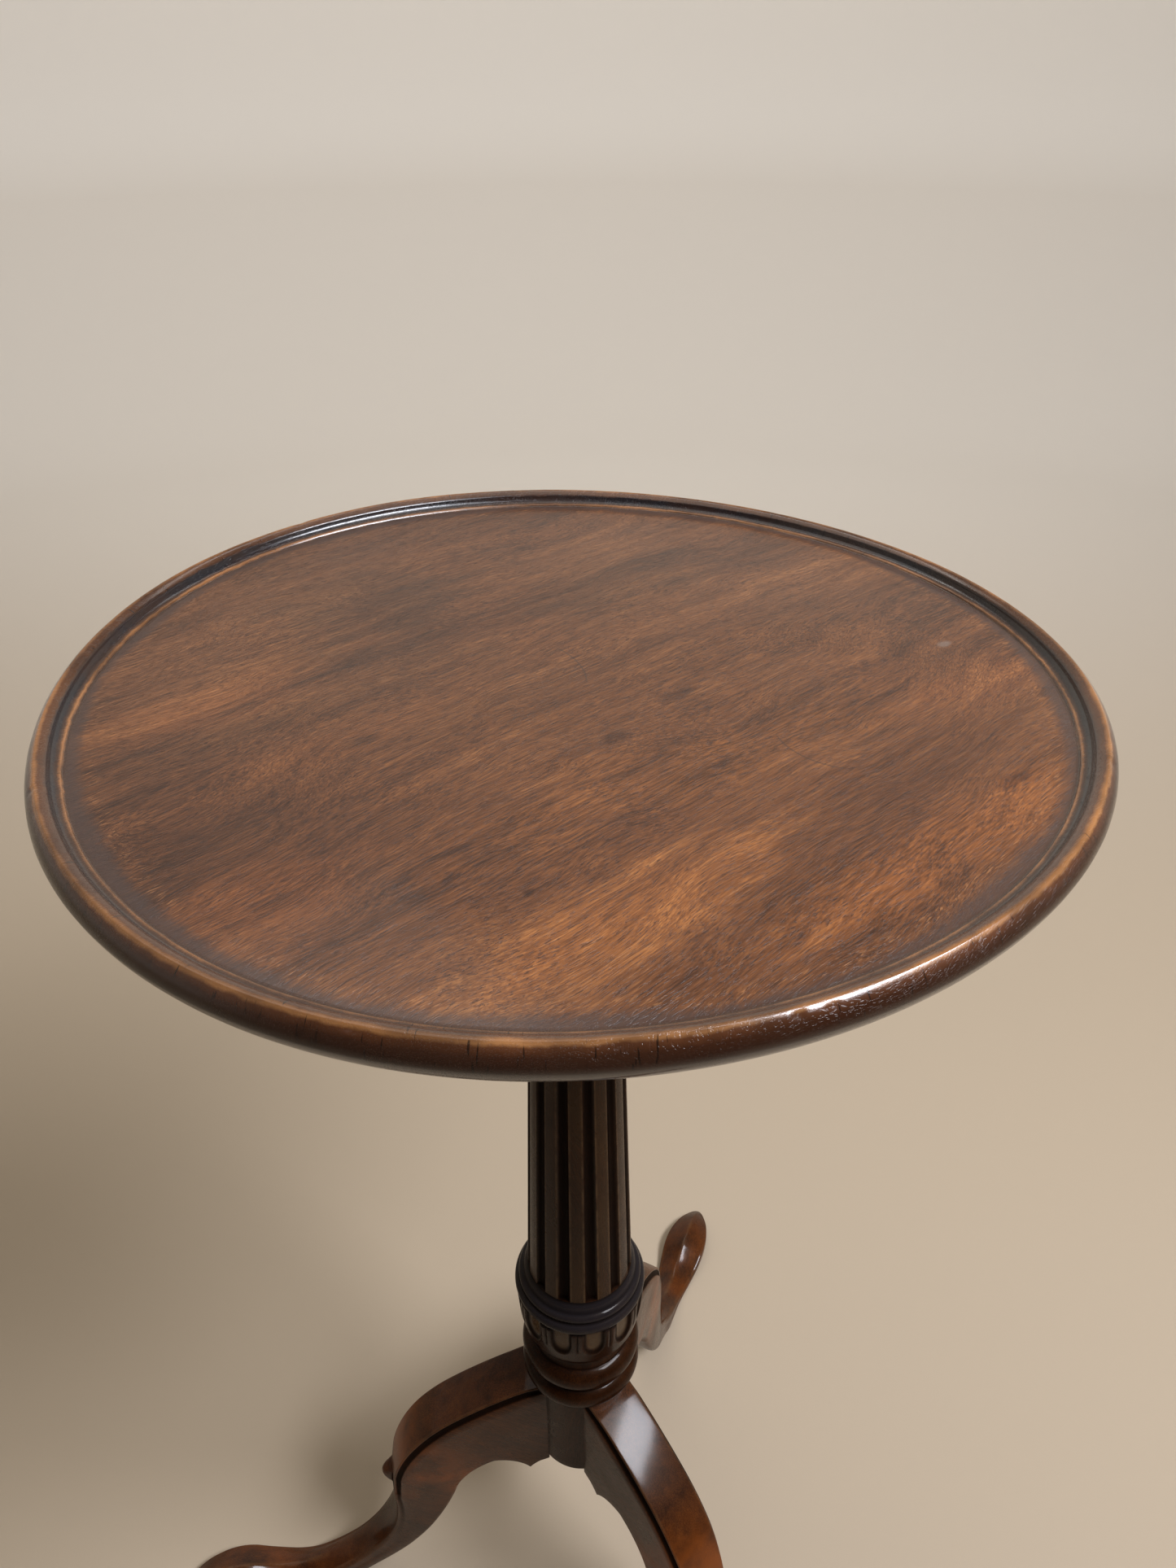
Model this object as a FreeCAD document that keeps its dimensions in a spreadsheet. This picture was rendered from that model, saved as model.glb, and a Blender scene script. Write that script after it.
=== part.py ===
"""Tilt top table: a dished round top that hinges on a block over a fluted pillar with three cabriole legs.

Millimetres: the origin is on the pillar's axis at floor level, +Z is up, and +X runs along the hinge
axis and the grain of the top. One leg points to -Y; the top tips up towards +Y.
"""
import FreeCAD
import Part
import Sketcher
import math
import operator
import os

Vector = FreeCAD.Vector
Rotation = FreeCAD.Rotation
Placement = FreeCAD.Placement

DIMENSIONS = {
    # round top
    "top_radius": 205,
    "field_height": 721,
    "board_thickness": 12,
    "rim_rise": 6.2,
    "field_radius": 192.6,
    # hinge block and bearers
    "block_half_width": 52,
    "block_back": 60,
    "block_thickness": 32,
    "block_gap": 0.3,
    "pivot_setback": 45,
    "pivot_radius": 6,
    "pivot_play": 0.05,
    "pivot_engagement": 22,
    "pivot_recess": 1,
    "bearer_gap": 1,
    "bearer_width": 26,
    "bearer_depth": 30,
    "bearer_half_length": 162,
    "bearer_tip_depth": 11,
    "bearer_taper": 60,
    # pillar
    "shaft_top_radius": 19.2,
    "shaft_foot_radius": 30.4,
    "tenon_radius": 15,
    "tenon_recess": 0.7,
    "wedge_thickness": 3,
    "wedge_width": 24,
    "wedge_depth": 22,
    "flute_foot": 336,
    "flute_radius": 4.6,
    "flute_depth": 2.1,
    "flute_head_gap": 14,
    "leaf_height": 13,
    "leaf_radius": 8,
    "leaf_depth": 2.3,
    "leaf_setback": 1.4,
    "leaf_middle": 303,
    "collar_radius": 39.2,
    "drum_radius": 30,
    "drum_foot": 146,
    "drum_head": 229,
    # legs
    "leg_half_width": 17,
    "ankle_half_width": 11.5,
    "foot_half_width": 17.5,
    "leg_reach": 290,
    "tongue_root": 6,
    "tongue_tip": 9,
    "tongue_inner": 14,
    "tongue_head": 222,
    "leg_blank_width": 45,
    # iron plate under the pillar
    "spider_reach": 26,
    "spider_half_width": 6,
    "spider_thickness": 2.5,
    # brass catch and its keeper
    "catch_length": 40,
    "catch_width": 54,
    "plate_thickness": 1.6,
    "catch_setback": 1.5,
    "case_wall": 2,
    "case_half_width": 8,
    "case_depth": 11,
    "bolt_half_width": 6,
    "bolt_thickness": 6,
    "bolt_length": 20,
    "bolt_bevel": 4,
    "bolt_play": 0.4,
    "rod_radius": 1.5,
    "rod_length": 12,
    "knob_radius": 5.5,
    "knob_length": 14,
    "knob_setback": 10,
    "knob_slot_play": 0.8,
    "spring_radius": 2.4,
    "wire_radius": 0.35,
    "keeper_half_width": 18,
    "keeper_foot": 695,
    "keeper_head": 708,
    "mortise_play": 0.6,
    "mortise_depth": 10,
    # woodscrews
    "screw_radius": 2.0,
    "screw_head_radius": 3.8,
    "small_screw_radius": 1.2,
    "small_head_radius": 2.4,
    "slot_width": 0.8,
    "bearer_screw_length": 37,
    "catch_screw_length": 9,
    "catch_screw_side": 20,
    "catch_screw_inset": 6,
    "keeper_screw_length": 11,
    "keeper_screw_side": 13,
    "spider_screw_length": 18,
    "spider_screw_inset": 5,
}

LEG_ANGLES = {"leg_right": 30, "leg_left": 150, "leg_front": 270}
FIRST_LEG = LEG_ANGLES["leg_right"]
FLUTES = 12
FLUTE_TURN = 5             # degrees from +X to the first flute
SPRING_TURNS = 9
STEM_ENGAGEMENT = 4        # how far the knob's stem enters the bolt
BEARER_SCREW_ROWS = [-80, -12, 85]
SLOT_SHARE = 0.45          # depth of a screw's slot as a share of its head
POINT_SHARE = 1.8          # length of a screw's point in shank radii
TIP_SHARE = 0.125          # radius of a screw's tip as a share of its shank
WEDGE_TIP_SHARE = 0.33     # thickness of the wedge's thin edge as a share of its thick one
ARM_ROUNDING = 1.05        # radius of a spider arm's rounded end in half widths
OVERRUN = 1                # how far a cutter, or a joined piece, reaches past the face it meets
TONGUE_OVERRUN = 4         # how far the tongue runs into the leg, outside the drum
WASTE_REACH = 60           # half width of the waste round a leg's plan
WASTE_END = 20             # how far that waste reaches past the leg's ends

doc = FreeCAD.newDocument("tilt_top_table")
sheet = doc.addObject("Spreadsheet::Sheet", "dimensions")
for row, (alias, length) in enumerate(DIMENSIONS.items(), start=1):
    sheet.set(f"A{row}", alias)
    sheet.set(f"B{row}", str(length))
    sheet.setAlias(f"B{row}", alias)
doc.recompute()


SIGNS = {"+": operator.add, "-": operator.sub, "*": operator.mul, "/": operator.truediv}


class Size:
    """A length worked out from the sheet: its number, and the expression that gives it."""

    def __init__(self, number, text):
        self.number = float(number)
        self.text = text

    def join(self, other, sign, flip=False):
        other = other if isinstance(other, Size) else Size(other, repr(other))
        left, right = (other, self) if flip else (self, other)
        return Size(SIGNS[sign](left.number, right.number), f"({left.text} {sign} {right.text})")

    def __add__(self, other):
        return self.join(other, "+")

    def __radd__(self, other):
        return self.join(other, "+", flip=True)

    def __sub__(self, other):
        return self.join(other, "-")

    def __rsub__(self, other):
        return self.join(other, "-", flip=True)

    def __mul__(self, other):
        return self.join(other, "*")

    def __rmul__(self, other):
        return self.join(other, "*", flip=True)

    def __truediv__(self, other):
        return self.join(other, "/")

    def __neg__(self):
        return 0 - self


def dim(alias):
    return Size(sheet.get(alias), f"dimensions.{alias}")


def number(value):
    return value.number if isinstance(value, Size) else float(value)


def bind(thing, **sizes):
    """Set properties of an object, each bound to its expression where it has one."""
    for name, value in sizes.items():
        if isinstance(value, Size):
            thing.setExpression(name, value.text)
        else:
            setattr(thing, name, value)
    return thing


def place(thing, x=0, y=0, z=0, turn=None):
    """Put an object at a point worked out from the sheet, turned by a rotation."""
    where = Vector(number(x), number(y), number(z))
    thing.Placement = Placement(where, turn or Rotation())
    for letter, value in zip("xyz", (x, y, z)):
        if isinstance(value, Size):
            thing.setExpression(f"Placement.Base.{letter}", value.text)
    return thing


def primitive(kind, name, sizes, x=0, y=0, z=0, turn=None):
    return place(bind(doc.addObject(f"Part::{kind}", name), **sizes), x, y, z, turn)


def box(name, low, high):
    """A box between two corners."""
    spans = [b - a for a, b in zip(low, high)]
    return primitive("Box", name, dict(zip(("Length", "Width", "Height"), spans)), *low)


def fuse(name, pieces):
    thing = doc.addObject("Part::MultiFuse", name)
    thing.Shapes = pieces
    return thing


def cut(name, base, tools):
    """The base with every tool taken away."""
    thing = doc.addObject("Part::Cut", name)
    thing.Base = base
    thing.Tool = tools[0] if len(tools) == 1 else fuse(name + "_tools", tools)
    return thing


def group(name, pieces):
    thing = doc.addObject("Part::Compound", name)
    thing.Links = pieces
    return thing


# --- sketches and bodies ------------------------------------------------------------------------


def origin_feature(body, role):
    return next(f for f in body.Origin.OriginFeatures if f.Role == role)


def sketch_on(body, name, plane, height=0, turn=0):
    sketch = body.newObject("Sketcher::SketchObject", name)
    sketch.AttachmentSupport = [(origin_feature(body, plane), "")]
    sketch.MapMode = "FlatFace"
    sketch.AttachmentOffset = Placement(Vector(0, 0, number(height)), Rotation(Vector(0, 0, 1), turn))
    if isinstance(height, Size):
        sketch.setExpression("AttachmentOffset.Base.z", height.text)
    return sketch


def arc_between(start, end, radius):
    """The short arc between two points; a positive radius bulges to the right of the way along it."""
    chord = end - start
    half = chord.Length / 2
    rise = math.sqrt(max(radius * radius - half * half, 0))
    side = 1 if radius > 0 else -1
    centre = (start + end) * 0.5 + Vector(-chord.y, chord.x, 0).normalize() * rise * side
    first, last = (start, end) if radius > 0 else (end, start)
    angles = [math.atan2(p.y - centre.y, p.x - centre.x) for p in (first, last)]
    whole = Part.Circle(centre, Vector(0, 0, 1), abs(radius))
    return Part.ArcOfCircle(whole, *angles)


def hold(sketch, kind, geometry, vertex, value):
    """One driving constraint, bound to its expression where it has one."""
    if kind == "Radius":
        made = Sketcher.Constraint(kind, geometry, abs(number(value)))
    else:
        made = Sketcher.Constraint(kind, -1, 1, geometry, vertex, number(value))
    index = sketch.addConstraint(made)
    if isinstance(value, Size):
        sketch.setExpression(f"Constraints[{index}]", value.text)


def outline(sketch, corners):
    """A closed outline. A corner is (across, up), or (across, up, radius) where an arc runs to the next."""
    points = [Vector(number(c[0]), number(c[1]), 0) for c in corners]
    first = sketch.GeometryCount
    for index, corner in enumerate(corners):
        start, end = points[index], points[(index + 1) % len(points)]
        if len(corner) == 3:
            sketch.addGeometry(arc_between(start, end, number(corner[2])), False)
        else:
            sketch.addGeometry(Part.LineSegment(start, end), False)
    for index, corner in enumerate(corners):
        here, following = first + index, (index + 1) % len(corners)
        start, end = ends_of(corner)
        sketch.addConstraint(Sketcher.Constraint("Coincident", here, end,
                                                 first + following, ends_of(corners[following])[0]))
        hold(sketch, "DistanceX", here, start, corner[0])
        hold(sketch, "DistanceY", here, start, corner[1])
        if len(corner) == 3:
            hold(sketch, "Radius", here, 0, corner[2])
    return sketch


def ends_of(corner):
    """The vertex numbers where an edge starts and ends; arcs run anticlockwise, whichever way they bulge."""
    hollow = len(corner) == 3 and number(corner[2]) < 0
    return (2, 1) if hollow else (1, 2)


def circle(sketch, across, up, radius):
    centre = Vector(number(across), number(up), 0)
    sketch.addGeometry(Part.Circle(centre, Vector(0, 0, 1), number(radius)), False)
    hold(sketch, "Radius", 0, 0, radius)
    hold(sketch, "DistanceX", 0, 3, across)
    hold(sketch, "DistanceY", 0, 3, up)
    return sketch


def feature(body, kind, name, **settings):
    thing = body.newObject(f"PartDesign::{kind}", name)
    bind(thing, **settings)
    return thing


def pad(body, name, sketch, length, **settings):
    return feature(body, "Pad", name, Profile=sketch, Length=length, **settings)


def revolve(body, name, sketch):
    return feature(body, "Revolution", name, Profile=sketch, ReferenceAxis=(sketch, ["V_Axis"]), Angle=360)


def pattern(body, name, original, count):
    """Copies of a feature spread evenly about the upright axis."""
    thing = body.newObject("PartDesign::PolarPattern", name)
    thing.Originals = [original]
    thing.Axis = (origin_feature(body, "Z_Axis"), [""])
    thing.Angle = 360
    thing.Occurrences = count
    body.Tip = thing
    return thing


def new_body(name):
    return doc.addObject("PartDesign::Body", name)


# --- woodscrews ---------------------------------------------------------------------------------


def screws(name, places, length, into, shank, head):
    """Countersunk slotted screws whose heads lie at the places given and which point along into.

    Returns the group of screws, and plain blanks of the same size that cut their holes.
    """
    turn = Rotation(Vector(0, 0, 1), into)
    blanks, finished = [], []
    for index, where in enumerate(places, start=1):
        def along(distance):
            return [a + b * distance for a, b in zip(where, into)]

        tag = f"{name}_{index}"
        sink = head - shank
        cone = primitive("Cone", tag + "_head", {"Radius1": head, "Radius2": shank, "Height": sink},
                         *along(0), turn)
        point = shank * POINT_SHARE
        rod = primitive("Cylinder", tag + "_shank", {"Radius": shank, "Height": length - sink - point},
                        *along(sink), turn)
        tip = primitive("Cone", tag + "_point",
                        {"Radius1": shank, "Radius2": shank * TIP_SHARE, "Height": point},
                        *along(length - point), turn)
        blank = fuse(tag + "_blank", [cone, rod, tip])
        # the slot's cutter is centred on the face of the head, so half of it cuts
        depth, width = sink * SLOT_SHARE, dim("slot_width")
        slot = primitive("Box", tag + "_slot", {"Length": head * 2, "Width": width, "Height": depth * 2})
        corner = Vector(-head.number, -width.number / 2, -depth.number)
        slot.Placement = Placement(Vector(*map(number, where)), turn) * Placement(corner, Rotation())
        blanks.append(blank)
        finished.append(cut(tag, blank, [slot]))
    return group(name, finished), blanks


# --- the heights and places that several pieces share ---------------------------------------------

board_foot = dim("field_height") - dim("board_thickness")
block_head = board_foot - dim("block_gap")
block_foot = block_head - dim("block_thickness")
pivot_height = block_head - dim("block_thickness") / 2
pivot_y = dim("pivot_setback")
bearer_inner = dim("block_half_width") + dim("bearer_gap")
bearer_outer = bearer_inner + dim("bearer_width")
bearer_foot = board_foot - dim("bearer_depth")
catch_front = -(dim("block_back") + dim("plate_thickness") + dim("catch_setback"))
catch_back = catch_front - dim("catch_length")
plate_foot = board_foot - dim("plate_thickness")
case_foot = board_foot - dim("case_depth")
bolt_head = plate_foot - dim("bolt_play")
bolt_foot = bolt_head - dim("bolt_thickness")
bolt_middle = bolt_head - dim("bolt_thickness") / 2
knob_y = catch_front - dim("knob_setback")
spider_foot = dim("drum_foot") - dim("spider_thickness")

UP = Vector(0, 0, 1)
SCREW = dim("screw_radius")
SCREW_HEAD = dim("screw_head_radius")
SMALL = dim("small_screw_radius")
SMALL_HEAD = dim("small_head_radius")


# --- tilting top ----------------------------------------------------------------------------------


def make_top():
    """The solid board, turned out of one plank: bead rim, cove, fillet and sunken field."""
    radius, field, ledge = dim("top_radius"), dim("field_height"), dim("field_radius")
    crest = field + dim("rim_rise")
    body = new_body("tabletop_board")
    sketch = outline(sketch_on(body, "tabletop_profile", "XZ_Plane"), [
        (0, board_foot),
        (radius - 14, board_foot),
        (radius - 9, board_foot + 0.9, 12),
        (radius, field - 1.5, 10.5),
        (radius - 4.5, crest, 7),
        (radius - 8.2, field + 4.6, 5),
        (radius - 8.7, field + 3.6, -3.4),
        (ledge + 1.4, field + 1.1),
        (ledge, field + 1.0),
        (ledge - 0.8, field),
        (0, field),
    ])
    revolve(body, "tabletop_turning", sketch)
    return body


def make_bearer(name, side):
    """A batten across the grain, thinned towards both ends, with the hinge hole near its middle."""
    body = new_body(name + "_batten")
    half, taper = dim("bearer_half_length"), dim("bearer_taper")
    tip_foot = board_foot - dim("bearer_tip_depth")
    plane = bearer_inner if side > 0 else -bearer_outer
    sketch = outline(sketch_on(body, name + "_side", "YZ_Plane", plane), [
        (-half, tip_foot, 90),
        (-(half - taper), bearer_foot),
        (half - taper, bearer_foot, 90),
        (half, tip_foot),
        (half, board_foot),
        (-half, board_foot),
    ])
    pad(body, name + "_pad", sketch, dim("bearer_width"))
    hole = circle(sketch_on(body, name + "_hole", "YZ_Plane", plane), pivot_y, pivot_height,
                  dim("pivot_radius") + dim("pivot_play"))
    feature(body, "Pocket", name + "_bore", Profile=hole, Type="ThroughAll", Midplane=True)
    return body


# --- hinge block and its pins -----------------------------------------------------------------------


def make_block():
    """The hardwood block on the pillar's tenon; its back edge is rounded about the hinge axis."""
    body = new_body("pivot_block_blank")
    back, round_radius = dim("block_back"), dim("block_thickness") / 2
    side = outline(sketch_on(body, "pivot_block_side", "YZ_Plane"), [
        (-back, block_foot),
        (pivot_y, block_foot, round_radius),
        (pivot_y + round_radius, pivot_height, round_radius),
        (pivot_y, block_head),
        (-back, block_head),
    ])
    pad(body, "pivot_block_pad", side, dim("block_half_width") * 2, Midplane=True)
    bore = circle(sketch_on(body, "pivot_block_socket", "XY_Plane", block_foot), 0, 0, dim("tenon_radius"))
    feature(body, "Pocket", "pivot_block_bore", Profile=bore, Type="ThroughAll", Midplane=True)
    return body


def make_pins():
    """Two round pins that stand out of the block's ends and turn in the bearers."""
    inner = dim("block_half_width") - dim("pivot_engagement")
    length = bearer_outer - dim("pivot_recess") - inner
    pins = []
    for name, sign in (("pin_right", 1), ("pin_left", -1)):
        turn = Rotation(Vector(0, 0, 1), Vector(sign, 0, 0))
        pins.append(primitive("Cylinder", name, {"Radius": dim("pivot_radius"), "Height": length},
                              inner * sign, pivot_y, pivot_height, turn))
    return pins


def make_mortise():
    """The pocket behind the keeper that the catch bolt shoots into."""
    play = dim("mortise_play")
    half = dim("bolt_half_width") + play
    back = dim("block_back")
    return box("mortise", (-half, -(back + dim("plate_thickness")), bolt_foot - play),
               (half, dim("mortise_depth") - back, bolt_head + play))


# --- pillar -----------------------------------------------------------------------------------------


def make_pillar():
    """The turned and fluted pillar, from its drum up to the tenon that holds the block."""
    body = new_body("pillar")
    drum, foot, head = dim("drum_radius"), dim("drum_foot"), dim("drum_head")
    collar, shaft = dim("collar_radius"), dim("shaft_foot_radius")
    tenon = dim("tenon_radius")
    tenon_head = block_head - dim("tenon_recess")
    turned = outline(sketch_on(body, "pillar_profile", "XZ_Plane"), [
        (0, foot),
        (drum - 1, foot),
        (drum, foot + 1),
        (drum, head),
        (drum + 3.5, head, 14),
        (drum + 3.5, head + 16.5),
        (drum + 3, head + 17.2),
        (drum + 3, head + 18, 14),
        (drum + 2, head + 36, -20),
        (drum + 5, head + 54, 120),
        (collar - 0.8, head + 85),
        (collar - 2, head + 86.5, 4.5),
        (collar - 2, head + 93.5),
        (collar - 3.4, head + 94.5, 3.4),
        (collar - 4.8, head + 99.5),
        (collar - 6, head + 100.3),
        (collar - 6.2, head + 104),
        (shaft, head + 106),
        (shaft, dim("flute_foot")),
        (dim("shaft_top_radius"), block_foot),
        (tenon, block_foot),
        (tenon, tenon_head),
        (0, tenon_head),
    ])
    revolve(body, "pillar_turning", turned)
    cut_sockets(body)
    cut_leaves(body)
    cut_flutes(body)
    return body


def tongue_outline(sketch):
    """Plan of the dovetail: narrow where it enters the drum and wide at its inner end."""
    inner, tip = dim("tongue_inner"), dim("tongue_tip")
    outer = dim("drum_radius") + TONGUE_OVERRUN
    slope = (tip - dim("tongue_root")) / (dim("drum_radius") - inner)
    narrow = dim("tongue_root") - slope * TONGUE_OVERRUN
    return outline(sketch, [(inner, -tip), (outer, -narrow), (outer, narrow), (inner, tip)])


def cut_sockets(body):
    sketch = tongue_outline(sketch_on(body, "socket_plan", "XY_Plane", dim("drum_foot"), FIRST_LEG))
    socket = feature(body, "Pocket", "socket", Profile=sketch, Reversed=True,
                     Length=dim("tongue_head") - dim("drum_foot"))
    pattern(body, "sockets", socket, len(LEG_ANGLES))


def cut_leaves(body):
    """A ring of scooped leaves under the collar, in line with the flutes."""
    size = dim("leaf_radius")
    leaf = feature(body, "SubtractiveEllipsoid", "leaf",
                   Radius1=dim("leaf_height"), Radius2=size, Radius3=size)
    reach = dim("collar_radius") - dim("leaf_setback") + size - dim("leaf_depth")
    leaf.AttachmentSupport = [(origin_feature(body, "XY_Plane"), "")]
    leaf.MapMode = "FlatFace"
    leaf.AttachmentOffset = Placement(Vector(), Rotation(UP, FLUTE_TURN))
    leaf.setExpression("AttachmentOffset.Base.x", f"{reach.text} * cos({FLUTE_TURN} deg)")
    leaf.setExpression("AttachmentOffset.Base.y", f"{reach.text} * sin({FLUTE_TURN} deg)")
    leaf.setExpression("AttachmentOffset.Base.z", dim("leaf_middle").text)
    body.Tip = leaf
    pattern(body, "leaves", leaf, FLUTES)


def cut_flutes(body):
    """Round-bottomed flutes that narrow with the shaft and stop short of the block."""
    flute_head = block_foot - dim("flute_head_gap")
    sections = []
    shrink = dim("shaft_top_radius") / dim("shaft_foot_radius")
    for name, height, scale in (("flute_low", dim("flute_foot"), Size(1, "1")),
                                ("flute_high", flute_head, shrink)):
        centre = dim("shaft_foot_radius") + dim("flute_radius") - dim("flute_depth")
        sketch = sketch_on(body, name, "XY_Plane", height, turn=FLUTE_TURN)
        sections.append(circle(sketch, centre * scale, 0, dim("flute_radius") * scale))
    flute = feature(body, "SubtractiveLoft", "flute", Profile=sections[0], Sections=sections[1:])
    body.Tip = flute
    pattern(body, "flutes", flute, FLUTES)


def make_wedge():
    """The wedge driven across the top of the tenon."""
    body = new_body("wedge")
    tenon_head = block_head - dim("tenon_recess")
    half = dim("wedge_thickness") / 2
    foot = tenon_head - dim("wedge_depth")
    sketch = outline(sketch_on(body, "wedge_end", "YZ_Plane"), [
        (-(half * WEDGE_TIP_SHARE), foot),
        (half * WEDGE_TIP_SHARE, foot),
        (half, tenon_head),
        (-half, tenon_head),
    ])
    pad(body, "wedge_pad", sketch, dim("wedge_width"), Midplane=True)
    return body


# --- legs -------------------------------------------------------------------------------------------


def make_leg(name, angle):
    """A cabriole leg: broad knee, small scroll, slim ankle, pointed slipper foot, dovetail tongue."""
    body = new_body(name + "_carving")
    drum, foot, reach = dim("drum_radius"), dim("drum_foot"), dim("leg_reach")
    side = outline(sketch_on(body, name + "_side", "XZ_Plane"), [
        (drum - 6, foot - 5, -22),
        (drum + 7, foot - 14, -30),
        (drum + 30, foot + 1, -44),
        (drum + 58, foot - 32, 225),
        (reach - 122, 1.5),
        (reach - 119, 0),
        (reach - 6, 0),
        (reach, 4, 50),
        (reach - 25, 19.5, 60),
        (reach - 52, 18.5, -60),
        (reach - 90, 13, -94),
        (drum + 101.5, 96, 17),
        (drum + 97.3, 124, 85),
        (drum + 54, 201, 220),
        (drum - 5, dim("drum_head") - 0.5),
    ])
    pad(body, name + "_pad", side, dim("leg_blank_width"), Midplane=True)
    knee, ankle, sole = dim("leg_half_width"), dim("ankle_half_width"), dim("foot_half_width")
    plan = sketch_on(body, name + "_plan", "XY_Plane")
    near, far = drum - WASTE_END, reach + WASTE_END
    outline(plan, [(near, -WASTE_REACH), (far, -WASTE_REACH), (far, WASTE_REACH), (near, WASTE_REACH)])
    outline(plan, [
        (drum - 10, -knee),
        (drum + 84, -knee, -300),
        (reach - 132, -ankle),
        (reach - 100, -ankle, 60),
        (reach - 45, -sole, 70),
        (reach - 1.5, -3),
        (reach - 1.5, 3, 70),
        (reach - 45, sole, 60),
        (reach - 100, ankle),
        (reach - 132, ankle, -300),
        (drum + 84, knee),
        (drum - 10, knee),
    ])
    feature(body, "Pocket", name + "_waste", Profile=plan, Type="ThroughAll", Midplane=True)
    cope = circle(sketch_on(body, name + "_cope", "XY_Plane"), 0, 0, drum)
    feature(body, "Pocket", name + "_shoulder", Profile=cope, Type="ThroughAll", Midplane=True)
    tongue = tongue_outline(sketch_on(body, name + "_tongue_plan", "XY_Plane", foot))
    pad(body, name + "_tongue", tongue, dim("tongue_head") - foot)
    body.Placement = Placement(Vector(), Rotation(Vector(0, 0, 1), angle))
    return body


def make_spider():
    """The flat iron plate with three arms that keeps the tongues from sliding out of the drum."""
    body = new_body("spider")
    reach, half = dim("spider_reach"), dim("spider_half_width")
    hub = circle(sketch_on(body, "spider_hub", "XY_Plane", spider_foot), 0, 0, half * 2)
    pad(body, "spider_disc", hub, dim("spider_thickness"))
    plan = outline(sketch_on(body, "spider_arm_plan", "XY_Plane", spider_foot, FIRST_LEG), [
        (0, -half),
        (reach - half, -half, half * ARM_ROUNDING),
        (reach, 0, half * ARM_ROUNDING),
        (reach - half, half),
        (0, half),
    ])
    arm = pad(body, "spider_arm", plan, dim("spider_thickness"))
    pattern(body, "spider_arms", arm, len(LEG_ANGLES))
    return body


# --- brass catch --------------------------------------------------------------------------------------


def make_catch_plate():
    half = dim("catch_width") / 2
    return box("catch_plate_blank", (-half, catch_back, plate_foot), (half, catch_front, board_foot))


def make_case():
    """The trough that guides the bolt, open at the front, with a slot below for the knob's stem."""
    half, wall = dim("case_half_width"), dim("case_wall")
    cavity = dim("bolt_half_width") + dim("bolt_play")
    outer = box("case_outer", (-half, catch_back, case_foot), (half, catch_front, plate_foot))
    trough = box("case_trough", (-cavity, catch_back + wall, bolt_foot - dim("bolt_play")),
                 (cavity, catch_front + OVERRUN, plate_foot + OVERRUN))
    stem = dim("rod_radius") + dim("knob_slot_play")
    slot = box("case_slot", (-stem, knob_y - stem, case_foot - OVERRUN),
               (stem, catch_front + OVERRUN, plate_foot))
    return cut("catch_case", outer, [trough, slot])


def make_bolt():
    """The sliding bolt with a nose bevelled below and a tail rod that carries the spring."""
    body = new_body("bolt")
    back, bevel = catch_front - dim("bolt_length"), dim("bolt_bevel")
    side = outline(sketch_on(body, "bolt_side", "YZ_Plane"), [
        (back, bolt_foot),
        (catch_front - bevel, bolt_foot),
        (catch_front, bolt_foot + bevel),
        (catch_front, bolt_head),
        (back, bolt_head),
    ])
    pad(body, "bolt_pad", side, dim("bolt_half_width") * 2, Midplane=True)
    turn = Rotation(Vector(0, 0, 1), Vector(0, -1, 0))
    rod = primitive("Cylinder", "tail_rod",
                    {"Radius": dim("rod_radius"), "Height": dim("rod_length") + OVERRUN},
                    0, back + OVERRUN, bolt_middle, turn)
    stem_hole = primitive("Cylinder", "stem_hole", {"Radius": dim("rod_radius"), "Height": STEM_ENGAGEMENT},
                          0, knob_y, bolt_foot)
    return cut("catch_bolt", fuse("bolt_with_rod", [body, rod]), [stem_hole])


def make_knob():
    """A small turned knob whose stem screws up into the bolt."""
    body = new_body("knob")
    stem, ball = dim("rod_radius"), dim("knob_radius")
    top = bolt_foot + STEM_ENGAGEMENT
    foot = bolt_foot - dim("knob_length")
    profile = outline(sketch_on(body, "knob_profile", "XZ_Plane"), [
        (0, foot, 9),
        (ball - 0.6, foot + 2.4, 3),
        (ball - 0.6, foot + 6, 5),
        (stem + 0.7, foot + 8.5),
        (stem + 0.7, foot + 9.5),
        (stem, foot + 9.7),
        (stem, top),
        (0, top),
    ])
    revolve(body, "knob_turning", profile)
    return place(body, 0, knob_y, 0)


def make_spring():
    """The compression spring between the case's back wall and the bolt."""
    body = new_body("spring")
    length = dim("catch_length") - dim("case_wall") - dim("bolt_length") - dim("wire_radius") * 4
    sketch = circle(sketch_on(body, "spring_wire", "XZ_Plane"), dim("spring_radius"), 0, dim("wire_radius"))
    feature(body, "AdditiveHelix", "spring_coil", Profile=sketch, ReferenceAxis=(sketch, ["V_Axis"]),
            Mode="height-turns-growth", Height=length, Turns=SPRING_TURNS, Growth=0)
    start = catch_back + dim("case_wall") + dim("wire_radius") * 2
    body.Placement = Placement(Vector(0, number(start), number(bolt_middle)),
                               Rotation(Vector(0, 0, 1), Vector(0, 1, 0)))
    return body


def make_keeper():
    half, back = dim("keeper_half_width"), dim("block_back")
    return box("keeper_blank", (-half, -(back + dim("plate_thickness")), dim("keeper_foot")),
               (half, -back, dim("keeper_head")))


# --- assembly -------------------------------------------------------------------------------------------

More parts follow.
